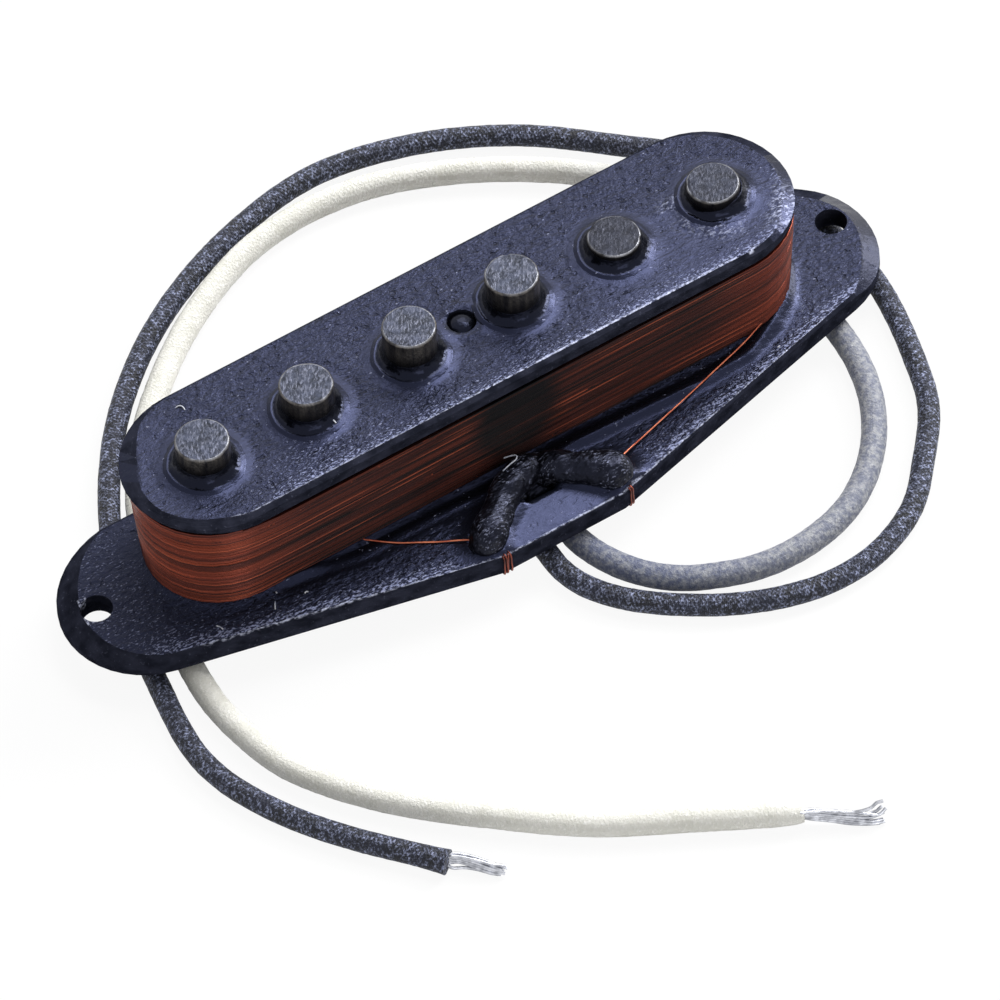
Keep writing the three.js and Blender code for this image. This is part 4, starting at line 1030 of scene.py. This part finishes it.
class PICKUP_OT_coil(bpy.types.Operator):
    """Wind the coil: the turns inside, and the outer layer as one long wire"""
    bl_idname = "pickup.coil"
    bl_label = "Coil"

    def execute(self, context):
        sizes = context.scene.pickup_sizes
        copper = material_named("enamelled_copper_coil_wire", enamelled_coil_wire)
        straight_steps, end_steps = 26, 16
        lap = [(-COIL_HALF_STRAIGHT + 2 * COIL_HALF_STRAIGHT * s / straight_steps, -math.pi / 2)
               for s in range(straight_steps)]
        lap += [(COIL_HALF_STRAIGHT, math.pi * (s / end_steps - 0.5)) for s in range(end_steps)]
        lap += [(-x, angle + math.pi) for x, angle in lap]

        def on_coil(x, angle, z, radius):
            rise = 0.045 * z * smooth_step(-22, -27, x + radius * math.cos(angle))
            return from_row(x + radius * math.cos(angle), radius * math.sin(angle), z + rise)

        radius_of_wire = sizes.wire_drawn / 2 / MM
        height = (COIL_HEAD - COIL_FOOT) / MM - 2 * radius_of_wire
        line, turns, alongs, along = [], [], [], 0.0
        for turn in range(sizes.coil_turns):
            for place, (x, angle) in enumerate(lap):
                done = turn + place / len(lap)
                z = radius_of_wire + height * done / sizes.coil_turns
                loose = wander(along, turn * 1.7, 0, 16.0) + 0.6 * wander(along, turn * 5, 9, 5.0)
                radius = coil_half_width(z) - radius_of_wire + 0.03 * loose
                z += 0.04 * wander(along, turn * 3, 4, 9.0)
                line.append(on_coil(x, angle, z, radius))
                turns.append(done)
                alongs.append(along % 152.0)
                if len(line) > 1:
                    along += (line[-1] - line[-2]).length / MM
        outer = wires("coil_outer_turns", [line], sizes.wire_drawn, 6, copper,
                      {"turn": [turns], "along": [alongs]})
        finish_piece(outer, ["coil_outer_layer"])
        # The turns inside: three rings behind the outer layer and two in the hollow
        made = bmesh.new()
        behind, hollow_radius, hollow_half_straight = 0.16, 2.75, 26.2
        rings = []
        for z, hollow in ((0, False), (5, False), (9.9, False), (9.9, True), (0, True)):
            ring = []
            for x, angle in lap:
                radius = hollow_radius if hollow else coil_half_width(z) - behind
                x = x * hollow_half_straight / COIL_HALF_STRAIGHT if hollow else x
                ring.append(made.verts.new(on_coil(x, angle, z, radius)))
            rings.append(ring)
        join_rings(made, zip(rings, rings[1:] + rings[:1]))
        bmesh.ops.recalc_face_normals(made, faces=made.faces)
        inner = new_object("coil_inner_turns", to_mesh(made, "inner"), copper)
        finish_piece(inner, ["coil_core"])
        return {"FINISHED"}


class PICKUP_OT_coil_wires(bpy.types.Operator):
    """Lay the two ends of the coil's wire and their lashings over the plate's edge"""
    bl_idname = "pickup.coil_wires"
    bl_label = "Coil wire ends"

    def execute(self, context):
        size = context.scene.pickup_sizes.loose_wire
        bright = material_named("enamelled_copper_wire", loose_enamelled_wire, "#a04a34",
                                "#d9805f")
        waxed = material_named("waxed_copper_wire", loose_enamelled_wire, "#4c1f18", "#924837")
        runs = {
            "start_wire": ([(27.12, -6.53, 0.95), (26.33, -6.78, 0.9), (23.91, -7.66, 0.75),
                            (20.12, -8.72, 0.6), (16.89, -9.6, 0.45), (13.05, -10.62, 0.36),
                            (10.51, -11.34, 0.35), (9.05, -11.8, 0.5), (7.96, -12.38, 0.9)],
                           "coil_start_wire"),
            "finish_wire": ([(-15.46, -6.7, 0.25), (-14.7, -7.45, 0.3), (-13.84, -8.2, 0.25),
                             (-12.79, -8.96, 0.14), (-11.33, -9.9, 0.14), (-9.88, -10.84, 0.14),
                             (-8.57, -11.7, 0.3), (-7.68, -12.42, 0.5), (-7.15, -13.08, 0.9)],
                            "coil_finish_wire"),
        }
        for name, (points, node) in runs.items():
            line = smooth_line([from_row(*point) for point in points], 0.25 * MM)[0]
            finish_piece(wires(name, [line], size, 8, bright), [node])
        facet = Vector((29.03, 7.14, 0)).normalized()
        for side, corner, along, strands in (
                ("left", Vector((-FRONT_HALF, FRONT_Y, 0)), Vector((1, 0, 0)),
                 (0.02, 0.2, 0.5, 0.66)),
                ("right", Vector((FRONT_HALF, FRONT_Y, 0)), facet, (0.62, 0.8))):
            inward = Vector((-along.y, along.x, 0))
            lines = []
            for place, start in enumerate(strands):
                lean = 0.2 * math.sin(place * 2.3)
                rise = 0.12 * (place % 2)
                points = []
                for run, out, z in ((0.5, 0.0, -0.12), (0.2, 0.0, 0.04), (0.0, 0.0, 0.05),
                                    (-0.1, 0.3, -0.12), (-0.1, 0.6, -1.0), (-0.1, 0.9, -2.0),
                                    (0.04, 1.0, -2.26), (0.9, 1.1, -2.34)):
                    point = corner + along * (start + lean * out) + inward * run
                    points.append(from_row(point.x, point.y, z + rise * (z > -1)))
                lines.append(smooth_line(points, 0.12 * MM)[0])
            finish_piece(wires(f"wire_lashing_{side}", lines, size, 8, waxed),
                         [f"wire_wrap_{side}"])
        return {"FINISHED"}


class PICKUP_OT_anchors(bpy.types.Operator):
    """Make the lacquered ends of the leads over their solder joints"""
    bl_idname = "pickup.anchors"
    bl_label = "Lacquered lead ends"

    def execute(self, context):
        cloth = material_named("lacquered_black_cloth", lacquered_cloth)
        shapes = {
            "left": ("black", [[(-6.7, -13.3, 0.5, 1.6), (-6.2, -13.1, 1.1, 1.8),
                                (-5.0, -12.2, 1.25, 1.55), (-3.8, -11.2, 1.35, 1.5),
                                (-2.6, -10.3, 1.5, 1.55), (-1.2, -9.6, 1.4, 1.55),
                                (0.2, -9.1, 1.1, 1.5), (1.2, -8.8, 0.6, 1.3)],
                               [(-1.5, -10.0, 0.9, 1.2), (-1.4, -9.8, -1.2, 1.0),
                                (-1.4, -10.4, -2.6, 1.0), (-1.4, -12.6, -3.4, 1.0)],
                               [(-2.0, -10.1, -0.9, 0.95), (-0.6, -10.2, -0.9, 1.0),
                                (0.6, -10.2, -0.9, 1.0), (1.8, -10.1, -0.9, 0.9)]]),
            "right": ("white", [[(6.9, -13.3, 0.5, 1.45), (6.3, -13.2, 1.0, 1.85),
                                 (5.5, -12.6, 1.15, 1.65), (4.5, -11.9, 1.2, 1.55),
                                 (3.3, -11.0, 1.25, 1.55), (2.3, -10.1, 1.2, 1.55),
                                 (1.5, -9.4, 0.6, 1.4)],
                                [(1.6, -9.8, 0.6, 1.3), (1.55, -9.8, -1.2, 1.1),
                                 (1.55, -10.4, -2.5, 1.1), (1.55, -12.6, -3.4, 1.1)]]),
        }
        ball = bmesh.new()
        bmesh.ops.create_icosphere(ball, subdivisions=2, radius=1.0)
        ball_points = [vert.co.copy() for vert in ball.verts]
        ball_faces = [[vert.index for vert in face.verts] for face in ball.faces]
        ball.free()
        for side, (colour, runs) in shapes.items():
            points, faces = [], []
            for stations in runs:
                marks = [from_row(*s[:3]) for s in stations]
                for centre in smooth_line(marks, 0.2 * MM)[0]:
                    weights = [((centre - mark).length + 1e-6) ** -3 for mark in marks]
                    radius = sum(w * s[3] for w, s in zip(weights, stations)) / sum(weights)
                    radius *= MM * (1 + 0.08 * noise.noise(centre / (1.3 * MM)))
                    faces += [[len(points) + corner for corner in face] for face in ball_faces]
                    points += [centre + point * radius for point in ball_points]
            mesh = bpy.data.meshes.new(side)
            mesh.from_pydata(points, [], faces)
            piece = new_object(f"lacquered_{colour}_lead_end", mesh, cloth)
            remesh = piece.modifiers.new("Skin", "REMESH")
            remesh.mode, remesh.voxel_size, remesh.use_smooth_shade = "VOXEL", 0.11 * MM, True
            soften = piece.modifiers.new("Soften", "SMOOTH")
            soften.factor, soften.iterations = 0.5, 12
            with_modifiers_applied(piece)
            outward = [vert.normal.copy() for vert in piece.data.vertices]
            for vert, normal in zip(piece.data.vertices, outward):
                place = vert.co / MM
                threads = 0.035 * wander(*place, 0.5) + 0.1 * wander(*place, 1.2)
                vert.co += normal * threads * MM
            finish_piece(piece,
                         [f"{colour}_lead_anchor", f"{colour}_lead_tail", f"solder_joint_{side}"])
        return {"FINISHED"}


class PICKUP_OT_eyelets(bpy.types.Operator):
    """Give the eyelets their brass"""
    bl_idname = "pickup.eyelets"
    bl_label = "Eyelets"

    def execute(self, context):
        metal = material_named("rolled_brass", brass)
        for side in ("left", "right"):
            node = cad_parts[f"eyelet_{side}"]
            node.data.materials.clear()
            node.data.materials.append(metal)
        return {"FINISHED"}


class PICKUP_OT_fibres(bpy.types.Operator):
    """Make the cotton fibres and the flecks that are stuck in the lacquer"""
    bl_idname = "pickup.fibres"
    bl_label = "Stuck fibres"

    def execute(self, context):
        lint = material_named("stuck_cotton_fibre", stuck_fibre)
        lines = [
            [(-2.26, -9.3, 2.95), (-1.42, -9.13, 3.1), (-0.66, -8.94, 3.1), (-0.42, -8.56, 3.05),
             (-0.84, -8.22, 2.9), (-1.37, -8.03, 2.8)],
            [(26.2, -9.4, 0.12), (26.45, -9.38, 0.14)],
            [(-25.1, 6.62, 11.56), (-24.75, 6.57, 11.68), (-24.57, 6.29, 11.68),
             (-24.56, 5.95, 11.58)],
            [(-14.98, -2.05, 12.0), (-14.8, -2.5, 11.98), (-14.71, -2.95, 11.9)],
            [(-25.1, -8.26, 0.1), (-25.3, -8.6, 0.12), (-25.5, -8.94, 0.1)],
            [(-25.5, -6.92, 0.1), (-25.35, -7.1, 0.12)],
            [(-24.46, -7.38, 0.1), (-24.46, -7.56, 0.1)],
            [(-22.5, -8.93, 0.12), (-22.3, -8.85, 0.14), (-22.15, -8.98, 0.12)],
            [(-30.6, -7.6, 0.08), (-30.4, -7.95, 0.1), (-30.35, -8.2, 0.08)],
        ]
        lines = [smooth_line([from_row(*point) for point in line], 0.1 * MM)[0] for line in lines]
        finish_piece(wires("stuck_fibres", lines, context.scene.pickup_sizes.fibre, 6, lint))
        return {"FINISHED"}


def seeing_white(tree, glossy):
    """The share of plain white that a ray sees: all for the camera's and for refracted rays, and
    a given share for reflected ones."""
    rays = add_node(tree, "ShaderNodeLightPath").outputs
    seen = rays["Is Camera Ray"]
    for ray, share in (("Is Glossy Ray", glossy), ("Is Transmission Ray", 1.0)):
        seen = add_node(tree, "ShaderNodeMath", {"operation": "MULTIPLY_ADD", "use_clamp": True},
                        i0=rays[ray], i1=share, i2=seen).outputs[0]
    return seen


class PICKUP_OT_stage(bpy.types.Operator):
    """Set the pale floor, the white surroundings and the soft lights"""
    bl_idname = "pickup.stage"
    bl_label = "Floor and lights"

    def execute(self, context):
        scene = context.scene
        scene.view_settings.view_transform = "Standard"
        # A pale matt floor that keeps the pickup's soft shadow
        made = bmesh.new()
        bmesh.ops.create_grid(made, x_segments=2, y_segments=2, size=4.0)
        floor_material = bpy.data.materials.new("pale_floor")
        tree = empty_tree(floor_material)
        share = add_node(tree, "ShaderNodeMath", {"operation": "MULTIPLY"},
                         i0=seeing_white(tree, 0.6), i1=0.92)
        plain = add_node(tree, "ShaderNodeBsdfDiffuse", Color=(0.8, 0.8, 0.8, 1))
        white = add_node(tree, "ShaderNodeEmission", Color=(1, 1, 1, 1), Strength=1.0)
        mix = add_node(tree, "ShaderNodeMixShader", i0=share.outputs[0], i1=plain.outputs[0],
                       i2=white.outputs[0])
        add_node(tree, "ShaderNodeOutputMaterial", Surface=mix.outputs[0])
        new_object("floor", to_mesh(made, "floor"), floor_material)
        world = bpy.data.worlds.new("white_room")
        scene.world = world
        tree = empty_tree(world)
        strength = add_node(tree, "ShaderNodeMapRange", Value=seeing_white(tree, 1.0),
                            To_Min=0.36, To_Max=1.0)
        background = add_node(tree, "ShaderNodeBackground", Color=(1, 1, 1, 1),
                              Strength=strength.outputs[0])
        add_node(tree, "ShaderNodeOutputWorld", Surface=background.outputs[0])
        # Each lamp's name, place in metres, direction of its width, width, height and watts
        for name, place, along, width, height, power in (
                ("back_softbox", (0.33, 0.58, 0.82), (1, 0, 0), 0.6, 0.6, 3.6),
                ("key_softbox", (0.42, 0.24, 0.9), (1, 0, 0), 0.4, 0.4, 4.6),
                ("side_strip", (0.77, 0.15, 0.61), (0.27, -0.35, -0.19), 0.5, 0.22, 8.5),
                ("low_right", (0.98, 0.16, 0.2), (0, 1, 0), 0.3, 0.3, 1.8),
                ("front_fill", (-0.15, -0.95, 0.4), (1, 0, 0), 0.5, 0.5, 1.8)):
            data = bpy.data.lights.new(name, "AREA")
            data.shape, data.size, data.size_y, data.energy = "RECTANGLE", width, height, power
            lamp = bpy.data.objects.new(name, data)
            back = Vector(place).normalized()
            across = (Vector(along) - back * back.dot(Vector(along))).normalized()
            turned = Matrix((across, back.cross(across), back)).transposed().to_4x4()
            turned.translation = place
            lamp.matrix_world = turned
            scene.collection.objects.link(lamp)
        return {"FINISHED"}


MAKERS = (PICKUP_OT_camera, PICKUP_OT_leads, PICKUP_OT_plates, PICKUP_OT_magnets,
          PICKUP_OT_lacquer, PICKUP_OT_coil, PICKUP_OT_coil_wires, PICKUP_OT_anchors,
          PICKUP_OT_eyelets, PICKUP_OT_fibres, PICKUP_OT_stage)


class PICKUP_PT_panel(bpy.types.Panel):
    """The pickup's sizes, colours and makers in the 3D view's sidebar"""
    bl_idname = "PICKUP_PT_panel"
    bl_label = "Guitar Pickup"
    bl_space_type = "VIEW_3D"
    bl_region_type = "UI"
    bl_category = "Pickup"

    def draw(self, context):
        sizes = context.scene.pickup_sizes
        for name in PickupSizes.__annotations__:
            self.layout.prop(sizes, name)
        for name in PickupColours.__annotations__:
            self.layout.prop(context.scene.pickup_colours, name)
        for maker in MAKERS:
            self.layout.operator(maker.bl_idname)


CLASSES = (PickupSizes, PickupColours, *MAKERS, PICKUP_PT_panel)


def register():
    for one in CLASSES:
        bpy.utils.register_class(one)
    bpy.types.Scene.pickup_sizes = PointerProperty(type=PickupSizes)
    bpy.types.Scene.pickup_colours = PointerProperty(type=PickupColours)


def unregister():
    del bpy.types.Scene.pickup_colours
    del bpy.types.Scene.pickup_sizes
    for one in reversed(CLASSES):
        bpy.utils.unregister_class(one)


def main():
    register()
    bpy.ops.pickup.camera()
    bpy.ops.pickup.leads()
    bpy.ops.pickup.plates()
    bpy.ops.pickup.magnets()
    bpy.ops.pickup.lacquer()
    bpy.ops.pickup.coil()
    bpy.ops.pickup.coil_wires()
    bpy.ops.pickup.anchors()
    bpy.ops.pickup.eyelets()
    bpy.ops.pickup.fibres()
    bpy.ops.pickup.stage()
    bpy.context.view_layer.update()


if __name__ == "__main__":
    main()
